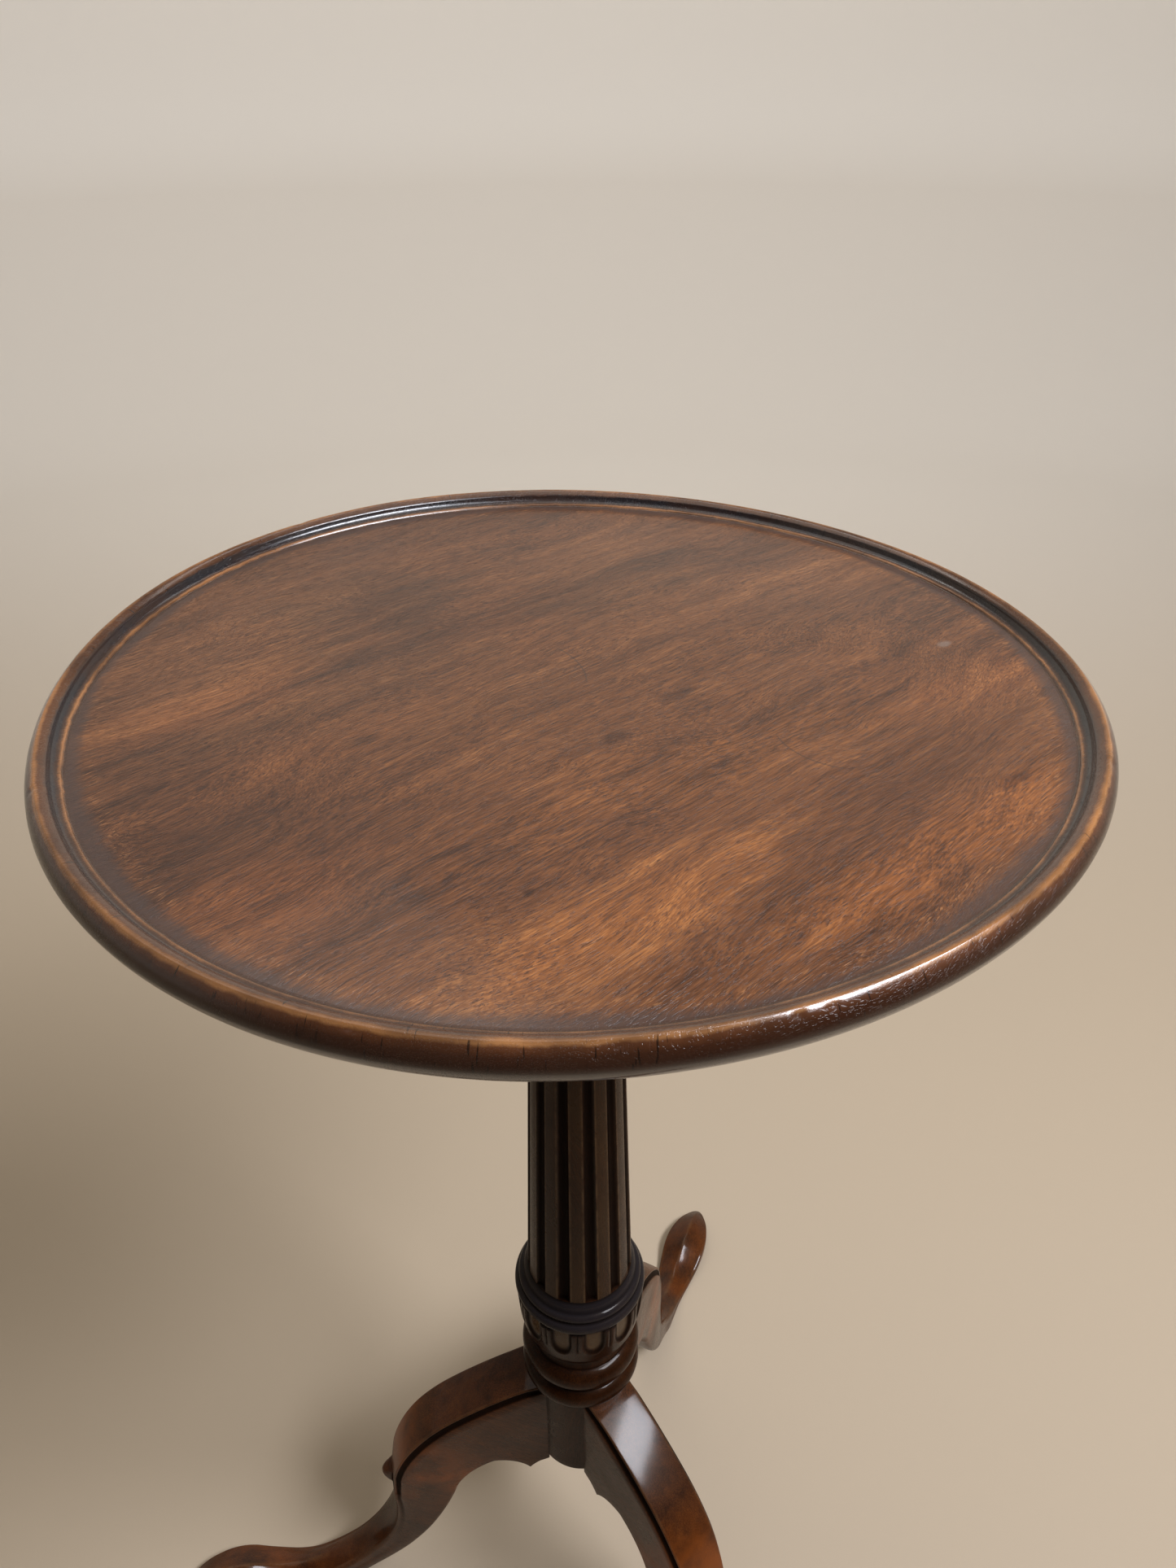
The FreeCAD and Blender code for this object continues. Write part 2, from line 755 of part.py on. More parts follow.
bearer_middle = bearer_inner + dim("bearer_width") / 2
bearer_screws, bearer_blanks = screws(
    "bearer_screws",
    [(side * bearer_middle, y, bearer_foot) for side in (1, -1) for y in BEARER_SCREW_ROWS],
    dim("bearer_screw_length"), UP, SCREW, SCREW_HEAD)
side, inset = dim("catch_screw_side"), dim("catch_screw_inset")
catch_screws, catch_blanks = screws(
    "catch_screws",
    [(x, y, plate_foot) for x in (-side, side) for y in (catch_front - inset, catch_back + inset)],
    dim("catch_screw_length"), UP, SMALL, SMALL_HEAD)
side = dim("keeper_screw_side")
keeper_front = -(dim("block_back") + dim("plate_thickness"))
keeper_middle = (dim("keeper_foot") + dim("keeper_head")) / 2
keeper_screws, keeper_blanks = screws(
    "keeper_screws", [(x, keeper_front, keeper_middle) for x in (-side, side)],
    dim("keeper_screw_length"), Vector(0, 1, 0), SMALL, SMALL_HEAD)
arm = number(dim("spider_reach") - dim("spider_screw_inset"))
arm_places = [Rotation(UP, angle).multVec(Vector(arm, 0, 0)) for angle in LEG_ANGLES.values()]
spider_screws, spider_blanks = screws(
    "spider_screws", [(p.x, p.y, spider_foot) for p in [*arm_places, Vector()]],
    dim("spider_screw_length"), UP, SCREW, SCREW_HEAD)

per_bearer = len(BEARER_SCREW_ROWS)
wedge = make_wedge()
mortise = make_mortise()
pins = make_pins()
nodes = {
    "tabletop": cut("tabletop", make_top(), bearer_blanks + catch_blanks),
    "bearer_right": cut("bearer_right", make_bearer("bearer_right", 1), bearer_blanks[:per_bearer]),
    "bearer_left": cut("bearer_left", make_bearer("bearer_left", -1), bearer_blanks[per_bearer:]),
    "bearer_screws": bearer_screws,
    "catch_plate": cut("catch_plate", make_catch_plate(), catch_blanks),
    "catch_case": make_case(),
    "catch_bolt": make_bolt(),
    "catch_knob": make_knob(),
    "catch_spring": make_spring(),
    "catch_screws": catch_screws,
    "pivot_block": cut("pivot_block", make_block(), [mortise, *pins, *keeper_blanks]),
    "pivot_pins": group("pivot_pins", pins),
    "keeper_plate": cut("keeper_plate", make_keeper(), [mortise, *keeper_blanks]),
    "keeper_screws": keeper_screws,
    "column": cut("column", make_pillar(), [wedge, spider_blanks[-1]]),
    "tenon_wedge": wedge,
    "spider_plate": cut("spider_plate", make_spider(), spider_blanks),
    "spider_screws": spider_screws,
}
for (name, angle), blank in zip(LEG_ANGLES.items(), spider_blanks):
    nodes[name] = cut(name, make_leg(name, angle), [blank])

doc.recompute()

failed = [thing.Name for thing in doc.Objects if {"Invalid", "Error"} & set(thing.State)]
if failed:
    raise SystemExit(f"failed to recompute: {failed}")
os.makedirs("parts", exist_ok=True)
for name, thing in nodes.items():
    thing.Label = name
    if thing.Shape.isNull() or not thing.Shape.isValid():
        raise SystemExit(f"{name} has no valid shape")
    thing.Shape.exportStep(f"parts/{name}.step")
    print(f"{name}: {len(thing.Shape.Solids)} solid(s), {thing.Shape.Volume / 1000:.2f} cm3")
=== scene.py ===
import math

import bmesh
import bpy
import numpy as np
from mathutils import Matrix, Vector, noise


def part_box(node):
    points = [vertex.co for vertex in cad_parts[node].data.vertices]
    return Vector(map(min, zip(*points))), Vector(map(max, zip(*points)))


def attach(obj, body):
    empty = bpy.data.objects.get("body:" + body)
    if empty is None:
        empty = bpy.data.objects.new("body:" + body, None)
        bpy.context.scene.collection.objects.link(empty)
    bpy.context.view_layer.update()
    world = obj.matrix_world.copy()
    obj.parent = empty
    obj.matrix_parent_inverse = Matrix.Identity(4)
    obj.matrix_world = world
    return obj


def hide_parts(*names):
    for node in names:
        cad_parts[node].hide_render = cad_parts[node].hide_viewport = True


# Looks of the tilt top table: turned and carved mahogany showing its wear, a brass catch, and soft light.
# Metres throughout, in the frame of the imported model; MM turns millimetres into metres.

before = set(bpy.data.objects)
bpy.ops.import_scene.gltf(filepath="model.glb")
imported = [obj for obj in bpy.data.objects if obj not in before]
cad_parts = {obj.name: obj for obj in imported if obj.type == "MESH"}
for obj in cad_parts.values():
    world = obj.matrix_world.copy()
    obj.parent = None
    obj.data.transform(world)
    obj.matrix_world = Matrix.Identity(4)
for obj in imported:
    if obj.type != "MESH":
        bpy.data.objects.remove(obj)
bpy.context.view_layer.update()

MM = 0.001
TOP_LOW, TOP_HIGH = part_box("tabletop")
PILLAR_LOW, PILLAR_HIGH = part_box("column")
BLOCK_LOW, BLOCK_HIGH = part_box("pivot_block")
KNOB_LOW, KNOB_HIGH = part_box("catch_knob")
LEG_REACH = -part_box("leg_front")[0].y
LEG_ANGLES = {"leg_right": 30, "leg_left": 150, "leg_front": 270}

TOP_RADIUS = TOP_HIGH.x
RIM_RISE = 6.2 * MM
FIELD_HEIGHT = TOP_HIGH.z - RIM_RISE
FIELD_RADIUS = TOP_RADIUS - 12.4 * MM
DRUM_RADIUS = 30 * MM
DRUM_HEIGHT = 83 * MM
SHAFT_FOOT_RADIUS = 30.4 * MM
SHAFT_HEAD_RADIUS = 19.2 * MM
COLLAR_RADIUS = PILLAR_HIGH.x
TENON_RADIUS = 15 * MM
WELD = 0.01 * MM           # points closer than this are one point


# --- outlines and meshes ----------------------------------------------------------------------------


def arc(start, end, radius, step):
    """Points from start towards end, without end, on an arc that bulges to the right of the way.

    A negative radius bulges to the left.
    """
    start, end = np.array(start, float), np.array(end, float)
    chord = end - start
    length = np.hypot(*chord)
    left = np.array([-chord[1], chord[0]]) / length
    sign = math.copysign(1, radius)
    half_turn = math.asin(min(1, length / 2 / abs(radius)))
    centre = (start + end) / 2 + left * sign * abs(radius) * math.cos(half_turn)
    count = max(2, math.ceil(abs(radius) * 2 * half_turn / step))
    angles = math.atan2(*(start - centre)[::-1]) + sign * np.arange(count) / count * 2 * half_turn
    return centre + abs(radius) * np.stack([np.cos(angles), np.sin(angles)], 1)


def trace(corners, step, line_step=None):
    """A closely spaced line through corners, each (a, b) or (a, b, radius of the arc that follows)."""
    points = []
    for corner, following in zip(corners, corners[1:]):
        start, end = np.array(corner[:2], float), np.array(following[:2], float)
        if len(corner) == 3:
            points.extend(arc(start, end, corner[2], step))
        else:
            count = max(1, math.ceil(np.hypot(*(end - start)) / (line_step or step)))
            points.extend(start + (end - start) * k / count for k in range(count))
    points.append(np.array(corners[-1][:2], float))
    return np.array(points)


def lengths(points):
    """Distance along a line of points, from its first one."""
    return np.concatenate([[0], np.cumsum(np.hypot(*np.diff(points, axis=0).T))])


def relief(points, reach):
    """How far each point of a profile lies below the average of those within reach of it.

    Hollows are positive and ridges negative; the outside is to the right of the way.
    """
    along = lengths(points)
    spacing = np.gradient(along)
    weight = np.clip(1 - abs(along[:, None] - along[None, :]) / reach, 0, None) * spacing
    smooth = weight @ points / weight.sum(1, keepdims=True)
    tangent = np.gradient(points, axis=0)
    tangent /= np.maximum(np.hypot(*tangent.T), 1e-12)[:, None]
    return (smooth - points)[:, 0] * tangent[:, 1] - (smooth - points)[:, 1] * tangent[:, 0]


def mesh_object(name, vertices, faces):
    mesh = bpy.data.meshes.new(name)
    mesh.from_pydata(np.asarray(vertices).tolist(), [], faces)
    mesh.validate()
    mesh.polygons.foreach_set("use_smooth", [True] * len(mesh.polygons))
    made = bpy.data.objects.new(name, mesh)
    bpy.context.scene.collection.objects.link(made)
    return made


def paint(piece, name, values):
    """Store one number per vertex, for the materials to read."""
    layer = piece.data.attributes.new(name, "FLOAT", "POINT")
    layer.data.foreach_set("value", np.asarray(values, np.float32).ravel())


def tube_faces(rings, around):
    """Quads between neighbouring closed rings of points."""
    faces = []
    for i in range(rings - 1):
        for j in range(around):
            k = (j + 1) % around
            faces.append((i * around + j, i * around + k, (i + 1) * around + k, (i + 1) * around + j))
    return faces


def lathe(name, profile, angles, shape):
    """A closed solid turned from a profile that starts and ends on the axis.

    shape(radius, height, angle) returns the final radius and height of each vertex of the grid.
    """
    inner = profile[1:-1]
    count = len(angles)
    angle = np.broadcast_to(angles, (len(inner), count))
    radius, height = shape(inner[:, 0][:, None] + 0 * angle, inner[:, 1][:, None] + 0 * angle, angle)
    ring = np.stack([radius * np.cos(angle), radius * np.sin(angle), height], -1).reshape(-1, 3)
    poles = [(0, 0, profile[0][1]), (0, 0, profile[-1][1])]
    faces = tube_faces(len(inner), count)
    foot, head, last = len(ring), len(ring) + 1, (len(inner) - 1) * count
    for j in range(count):
        k = (j + 1) % count
        faces.append((foot, k, j))
        faces.append((head, last + j, last + k))
    return mesh_object(name, np.concatenate([ring, poles]), faces)


def over_rings(values, count, ends):
    """One value per vertex of a lathe's mesh, from one per point of its profile and its two poles."""
    return np.concatenate([np.repeat(values[1:-1], count), ends])


def wander(x, y, z, scale, seed):
    """A smooth random field between about -1 and 1, the same at every run."""
    flat = np.stack(np.broadcast_arrays(x, y, z), -1).reshape(-1, 3) * scale + seed
    return np.array([noise.noise(Vector(p)) for p in flat]).reshape(np.shape(x))


# --- materials --------------------------------------------------------------------------------------


class Look:
    """A material's nodes, added one after another and joined by their sockets."""

    def __init__(self, name):
        self.material = bpy.data.materials.new(name)
        self.material.use_nodes = True
        self.tree = self.material.node_tree
        self.tree.nodes.clear()
        self.place = self.add("ShaderNodeTexCoord").outputs["Object"]

    def add(self, kind, inputs=None, **settings):
        node = self.tree.nodes.new(kind)
        for key, value in settings.items():
            setattr(node, key, value)
        for key, value in (inputs or {}).items():
            if isinstance(value, bpy.types.NodeSocket):
                self.tree.links.new(value, node.inputs[key])
            else:
                node.inputs[key].default_value = value
        return node

    def vector(self, operation, first, second):
        node = self.add("ShaderNodeVectorMath", {0: first, 1: second}, operation=operation)
        return node.outputs[0]

    def length(self, vector):
        return self.add("ShaderNodeVectorMath", {0: vector}, operation="LENGTH").outputs["Value"]

    def parts(self, vector):
        return self.add("ShaderNodeSeparateXYZ", {0: vector}).outputs

    def joined(self, x, y, z=0.0):
        return self.add("ShaderNodeCombineXYZ", {0: x, 1: y, 2: z}).outputs[0]

    def turned(self, turn, offset):
        """Object coordinates turned so that X runs along the grain."""
        node = self.add("ShaderNodeMapping", {"Vector": self.place, "Location": offset, "Rotation": turn})
        return node.outputs[0]

    def stretched(self, place, along, across):
        return self.vector("MULTIPLY", place, (along, across, across))

    def noise(self, place, scale=1.0, detail=4.0, roughness=0.55, distortion=0.0):
        node = self.add("ShaderNodeTexNoise", {"Vector": place, "Scale": scale, "Detail": detail,
                                               "Roughness": roughness, "Distortion": distortion})
        return node.outputs[0]

    def math(self, operation, first, second=0.0, clamp=False):
        node = self.add("ShaderNodeMath", {0: first, 1: second}, operation=operation, use_clamp=clamp)
        return node.outputs[0]

    def times(self, first, second):
        return self.math("MULTIPLY", first, second)

    def plus(self, first, second, clamp=False):
        return self.math("ADD", first, second, clamp)

    def minus(self, first, second):
        return self.math("SUBTRACT", first, second)

    def about_zero(self, value, size):
        """A noise's value moved to lie about zero, and scaled."""
        return self.times(self.minus(value, 0.5), size)

    def span(self, value, low, high, to_low=0.0, to_high=1.0):
        """value eased from to_low at low to to_high at high, and held beyond them."""
        node = self.add("ShaderNodeMapRange", {"Value": value, "From Min": low, "From Max": high,
                                               "To Min": to_low, "To Max": to_high},
                        interpolation_type="SMOOTHSTEP")
        return node.outputs[0]

    def ramp(self, value, stops):
        """Colours by value; each stop is (position, (red, green, blue))."""
        node = self.add("ShaderNodeValToRGB", {"Fac": value})
        elements = node.color_ramp.elements
        while len(elements) < len(stops):
            elements.new(0.5)
        for element, (position, colour) in zip(elements, stops):
            element.position = position
            element.color = (*colour, 1)
        return node.outputs[0]

    def mix(self, share, first, second, blend="MIX"):
        first, second = [(*value, 1) if isinstance(value, tuple) else value for value in (first, second)]
        node = self.add("ShaderNodeMix", {0: share, 6: first, 7: second}, data_type="RGBA", blend_type=blend)
        return node.outputs[2]

    def attribute(self, name):
        return self.add("ShaderNodeAttribute", attribute_name=name).outputs["Fac"]

    def crevices(self, distance):
        """1 in the open, falling towards 0 deep in a corner."""
        node = self.add("ShaderNodeAmbientOcclusion", {"Distance": distance}, samples=6)
        return node.outputs["AO"]

    def bump(self, height, strength, distance, normal=None):
        inputs = {"Height": height, "Strength": strength, "Distance": distance}
        if normal is not None:
            inputs["Normal"] = normal
        return self.add("ShaderNodeBump", inputs).outputs[0]

    def finish(self, colour, roughness, normal, **fixed):
        inputs = {"Base Color": colour, "Roughness": roughness, "Normal": normal}
        inputs.update({key.replace("_", " "): value for key, value in fixed.items()})
        shader = self.add("ShaderNodeBsdfPrincipled", inputs)
        out = self.add("ShaderNodeOutputMaterial")
        self.tree.links.new(shader.outputs[0], out.inputs["Surface"])
        return self.material


# dirt with painted shade in the hollows; also the colour of the rim's dark ticks
DIRT_AND_SHADE = (0.0045, 0.0028, 0.0020)
# near-black: painted shade with a faint bluish sheen in the rim's cove, and the dark of the pillar's collar
# rings
NEAR_BLACK = (0.013, 0.012, 0.014)
POLISH_IOR = 1.5
# the parts that make up a timber's tone, and the size of their cells: how many lie in a metre along
# the grain and across it
FIGURE_SHARE, WARP_SHARE, STREAK_SHARE, FIBRE_SHARE = 0.19, 0.17, 0.22, 0.42
FIGURE_CELLS, WARP_CELLS, STREAK_CELLS = (3.4, 24), (7, 16), (11, 150)
FIBRE_CELLS, PORE_CELLS, SWAY_CELLS = (70, 1500), (210, 2300), (8, 15)
SWAY = 0.045               # how far the grain wanders sideways


def timber(look, palette, turn, offset, figure_size=1.0):
    """Colour, pores and fibre of a plank, as sockets: broad figure, streaks, fibres and open pores."""
    place = look.turned(turn, offset)
    sway = look.noise(look.stretched(place, *SWAY_CELLS), detail=2, roughness=0.4)
    sway = look.about_zero(sway, SWAY * figure_size)
    place = look.vector("ADD", place, look.joined(0.0, sway, sway))
    warp = look.noise(look.stretched(place, *WARP_CELLS), detail=2)
    figure_cells = [cells / figure_size for cells in FIGURE_CELLS]
    figure = look.noise(look.stretched(place, *figure_cells), detail=5, roughness=0.62, distortion=0.9)
    streak = look.noise(look.stretched(place, *STREAK_CELLS), detail=5, roughness=0.6, distortion=0.25)
    fibre = look.noise(look.stretched(place, *FIBRE_CELLS), detail=4, roughness=0.65)
    pores = look.span(look.noise(look.stretched(place, *PORE_CELLS), detail=2), 0.56, 0.64)
    tone = look.times(figure, FIGURE_SHARE)
    for part, share in ((warp, WARP_SHARE), (streak, STREAK_SHARE), (fibre, FIBRE_SHARE)):
        tone = look.plus(tone, look.times(part, share))
    colour = look.ramp(tone, palette)
    colour = look.mix(look.times(pores, 0.7), colour, palette[0][1])
    return place, colour, pores, fibre


def wear_and_painted_light(look, colour, gold, dirt_and_shade_share=0.92, wear_and_glint_share=0.8):
    """Dirt and painted shade in hollows, bare golden wood on edges, a painted highlight in scoops: from
    numbers painted on the mesh.
    """
    patchy = look.noise(look.place, 90, 4, 0.65)
    wear_and_glint_mask = look.times(look.attribute("wear_and_painted_light"), look.span(patchy, 0.3, 0.62))
    colour = look.mix(look.times(wear_and_glint_mask, wear_and_glint_share), colour, gold)
    hollow = look.times(look.attribute("hollow"), look.span(patchy, 0.15, 0.5, 0.75, 1))
    return look.mix(look.times(hollow, dirt_and_shade_share), colour, DIRT_AND_SHADE)


def polished(look, colour, pores, fibre, rough, coat, coat_rough, level):
    """French polish: satin wood under a thin hard film, with open pores, and never quite flat."""
    haze = look.noise(look.place, 22, 4, 0.6)
    roughness = look.span(haze, 0.3, 0.72, rough - 0.07, rough + 0.1)
    roughness = look.plus(roughness, look.times(pores, 0.12))
    hollow = look.attribute("hollow")
    roughness = look.plus(roughness, look.times(hollow, 0.2), clamp=True)
    waves = look.noise(look.place, 38, 3, 0.5)
    height = look.minus(look.times(fibre, 0.6), pores)
    normal = look.bump(height, 0.2, 0.00022, look.bump(waves, 0.3, 0.0011))
    open_share = look.span(hollow, 0, 1, 1, 0.12)
    return look.finish(colour, roughness, normal, Coat_Weight=look.times(open_share, coat),
                       Coat_Roughness=coat_rough, Coat_IOR=POLISH_IOR, Specular_Tint=(1, 0.78, 0.58, 1),
                       Specular_IOR_Level=look.times(open_share, level))


def stain(look, colour, where, size, tint, strength):
    """An oval mark on the top with a ragged edge: where and size are (along, across) the grain in mm.

    A strong mark covers the wood, and a weaker one tints it.
    """
    off = look.vector("SUBTRACT", look.place, (where[0] * MM, where[1] * MM, 0))
    far = look.length(look.vector("MULTIPLY", off, (1 / size[0] / MM, 1 / size[1] / MM, 0)))
    ragged = look.noise(look.stretched(look.place, 0.45, 1), 75, 4, 0.65)
    far = look.plus(far, look.about_zero(ragged, 1.5))
    share = look.span(far, 0.25, 1.15, strength, 0)
    return look.mix(share, colour, tint, blend="MULTIPLY" if strength < COVERING else "MIX")


def scratch(look, colour, where, radius, start, sweep):
    """A thin curved scratch: part of a circle about where, from the angle start on, in degrees."""
    off = look.vector("SUBTRACT", look.place, (where[0] * MM, where[1] * MM, 0))
    middle = -math.radians(start + sweep / 2)
    turn = look.add("ShaderNodeMapping", {"Vector": off, "Rotation": (0, 0, middle)})
    parts = look.parts(turn.outputs[0])
    angle = look.math("ABSOLUTE", look.math("ARCTAN2", parts[1], parts[0]))
    far = look.length(look.joined(parts[0], parts[1]))
    near = look.span(look.math("ABSOLUTE", look.minus(far, radius * MM)), 0.15 * MM, 0.5 * MM, 1, 0)
    within = look.span(angle, math.radians(sweep) * 0.4, math.radians(sweep) * 0.5, 1, 0)
    share = look.times(look.times(near, within), 0.6)
    return look.mix(share, colour, (0.035, 0.018, 0.012))


TOP_PALETTE = [
    (0.39, (0.030, 0.0105, 0.0045)),
    (0.45, (0.068, 0.0240, 0.0085)),
    (0.50, (0.108, 0.0380, 0.0130)),
    (0.55, (0.150, 0.0550, 0.0180)),
    (0.62, (0.240, 0.0980, 0.0320)),
]
COVERING = 0.9             # a mark at least this strong covers the wood instead of tinting it
# stains and knots on the top: place and half size along and across the grain in mm, tint, strength
CLOUDS = [
    ((-30, 112), (60, 50), (0.50, 0.52, 0.55), 0.6),
    ((-45, 55), (50, 34), (0.52, 0.52, 0.55), 0.5),
    ((-130, 45), (70, 12), (0.50, 0.50, 0.52), 0.55),
    ((-160, 0), (45, 12), (0.55, 0.50, 0.50), 0.5),
    ((70, 60), (62, 34), (0.62, 0.64, 0.66), 0.5),
    ((-25, 0), (110, 22), (0.68, 0.66, 0.66), 0.5),
    ((90, -20), (90, 26), (0.72, 0.70, 0.70), 0.45),
    ((60, -128), (70, 14), (0.62, 0.58, 0.56), 0.5),
    ((20, 170), (120, 28), (0.62, 0.62, 0.66), 0.5),
    ((-125, 72), (50, 20), (1.6, 1.5, 1.3), 0.6),
    ((-100, 15), (60, 12), (1.4, 1.35, 1.2), 0.5),
    ((-40, -72), (75, 24), (1.6, 1.6, 1.4), 0.65),
    ((35, -88), (60, 22), (1.5, 1.5, 1.3), 0.55),
    ((-70, -125), (70, 22), (1.9, 1.85, 1.5), 0.7),
    ((30, -165), (85, 18), (2.0, 1.9, 1.5), 0.75),
    ((-160, -50), (40, 30), (1.5, 1.35, 1.2), 0.5),
    ((130, -105), (50, 22), (1.3, 1.2, 1.1), 0.5),
]
KNOTS = [
    ((-14, -45), (8, 5), (0.36, 0.33, 0.36), 0.8),
    ((-87, 12), (9, 4), (0.36, 0.36, 0.42), 0.75),
    ((25, -36), (12, 5), (0.42, 0.38, 0.38), 0.75),
    ((-92, -98), (3, 2), (0.25, 0.22, 0.22), 0.8),
    ((75, -155), (10, 3), (0.45, 0.38, 0.36), 0.7),
    ((142, -74), (4, 2.4), (0.150, 0.096, 0.070), 0.92),
]
# centre of the circle and its radius in mm, first angle and sweep in degrees
SCRATCHES = [((-30, 20), 42, -40, 50), ((60, -95), 30, 150, 70), ((100, -20), 24, 200, 60)]


RIM_START, RIM_END = -16, 24
# colours round the rim, by the distance in mm along its section: negative is inside its crest
RIM_COLOURS = [
    (-11.5, (0.050, 0.024, 0.014)),
    (-10.3, (0.300, 0.130, 0.046)),
    (-9.3, (0.080, 0.036, 0.018)),
    # painted shade with a faint bluish sheen: the near-black band in the cove inside the crest
    (-7.8, NEAR_BLACK),
    (-4.8, NEAR_BLACK),
    (-3.6, (0.080, 0.033, 0.014)),
    (-1.5, (0.100, 0.038, 0.015)),
    (-0.4, (0.270, 0.115, 0.038)),
    (0.9, (0.340, 0.150, 0.050)),
    (1.9, (0.100, 0.034, 0.012)),
    (4.5, (0.036, 0.0115, 0.0050)),
    (9.0, (0.018, 0.0062, 0.0032)),
    (14.0, (0.045, 0.0180, 0.0070)),
    (20.0, (0.026, 0.0100, 0.0050)),
]


def corner_dirt(look, place, colour, radius):
    """Old polish and dirt that the cloth never reaches, in the field's corner against the rim."""
    ragged = look.noise(look.stretched(place, 60, 420), detail=4, roughness=0.7)
    broad = look.noise(look.place, 14, 2, 0.5)
    edge = look.plus(radius, look.about_zero(ragged, 7 * MM))
    edge = look.plus(edge, look.about_zero(broad, 10 * MM))
    in_field = look.attribute("field")
    band = look.times(look.span(edge, FIELD_RADIUS - 8.5 * MM, FIELD_RADIUS - 3 * MM), in_field)
    inner_edge = look.minus(edge, FIELD_RADIUS - 9 * MM)
    frayed = look.span(look.math("ABSOLUTE", inner_edge), 0, 5 * MM, 1, 0)
    flecks = look.span(look.noise(look.stretched(place, 190, 1700), detail=2), 0.57, 0.66)
    flecks = look.times(look.times(flecks, frayed), in_field)
    colour = look.mix(look.times(flecks, 0.5), colour, (0.36, 0.16, 0.060))
    return look.mix(look.times(band, 0.8), colour, (0.050, 0.030, 0.0235))


def rim_colour(look, angle):
    """Bands that run round the rim, lost to wear in patches, with small dark ticks across them; the
    near-black band in the cove is painted shade with a faint bluish sheen.
    """
    along = look.attribute("rim")
    shifted = look.plus(along, look.about_zero(look.noise(look.place, 130, 4, 0.65), 2.4))
    share = look.add("ShaderNodeMapRange", {"Value": shifted, "From Min": RIM_START, "From Max": RIM_END})
    stops = [((mm - RIM_START) / (RIM_END - RIM_START), colour) for mm, colour in RIM_COLOURS]
    kept = look.span(look.noise(look.place, 26, 3, 0.6), 0.34, 0.66, 0.35, 1)
    rim = look.mix(kept, (0.030, 0.0120, 0.0060), look.ramp(share.outputs[0], stops))
    unrolled = look.joined(look.times(angle, TOP_RADIUS / MM), look.times(along, 0.12))
    ticks = look.span(look.noise(unrolled, 0.75, 2, 0.5), 0.64, 0.70)
    return look.mix(look.times(ticks, 0.75), rim, DIRT_AND_SHADE)


def top_material():
    """The old top: streaked field with stains and knots, a rim marked by wear with painted shade in its cove,
    and a dry brown underside.
    """
    look = Look("top_mahogany")
    place, colour, pores, fibre = timber(look, TOP_PALETTE, (0, 0, math.radians(-3)), (0.31, 0.12, 0.05))
    for mark in CLOUDS + KNOTS:
        colour = stain(look, colour, *mark)
    for mark in SCRATCHES:
        colour = scratch(look, colour, *mark)
    x, y, _ = look.parts(look.place)
    edge, raw = look.attribute("edge"), look.attribute("raw")
    colour = corner_dirt(look, place, colour, look.length(look.joined(x, y)))
    colour = look.mix(edge, colour, rim_colour(look, look.math("ARCTAN2", y, x)))
    colour = look.mix(raw, colour, look.mix(0.8, colour, (0.066, 0.029, 0.012)))
    colour = look.mix(look.attribute("chip"), colour, (0.42, 0.36, 0.34))

    haze = look.noise(look.place, 13, 5, 0.62)
    roughness = look.plus(look.span(haze, 0.3, 0.72, 0.30, 0.45), look.times(pores, 0.10))
    roughness = look.minus(roughness, look.times(edge, 0.17))
    roughness = look.plus(roughness, look.times(raw, 0.35), clamp=True)
    waves = look.noise(look.stretched(place, 10, 26), detail=3)
    lines = look.noise(look.stretched(place, 9, 260), detail=4, roughness=0.7)
    height = look.minus(look.plus(fibre, look.times(lines, 0.9)), look.times(pores, 1.3))
    height = look.times(height, look.span(edge, 0, 1, 1, 0.25))
    normal = look.bump(height, 0.5, 0.00028, look.bump(waves, 0.25, 0.0012))
    polish = look.span(raw, 0, 1, 1, 0)
    coat = look.times(polish, look.span(edge, 0, 1, 0.34, 0.5))
    return look.finish(colour, roughness, normal, Coat_Weight=coat, Coat_Roughness=0.12,
                       Coat_IOR=POLISH_IOR, Specular_IOR_Level=look.span(polish, 0, 1, 0.15, 0.4))


PILLAR_PALETTE = [
    (0.34, (0.005, 0.0018, 0.0009)),
    (0.46, (0.012, 0.0038, 0.0014)),
    (0.55, (0.026, 0.0078, 0.0022)),
    (0.68, (0.052, 0.0160, 0.0040)),
]
LEG_PALETTE = [
    (0.36, (0.009, 0.0036, 0.0020)),
    (0.45, (0.023, 0.0082, 0.0036)),
    (0.54, (0.052, 0.0165, 0.0052)),
    (0.68, (0.120, 0.0370, 0.0085)),
]
BLOCK_PALETTE = [
    (0.34, (0.030, 0.014, 0.0065)),
    (0.50, (0.070, 0.033, 0.0150)),
    (0.68, (0.130, 0.064, 0.0300)),
]
BEARER_PALETTE = [
    (0.34, (0.024, 0.0095, 0.0045)),
    (0.50, (0.058, 0.0240, 0.0105)),
    (0.68, (0.110, 0.0490, 0.0220)),
]


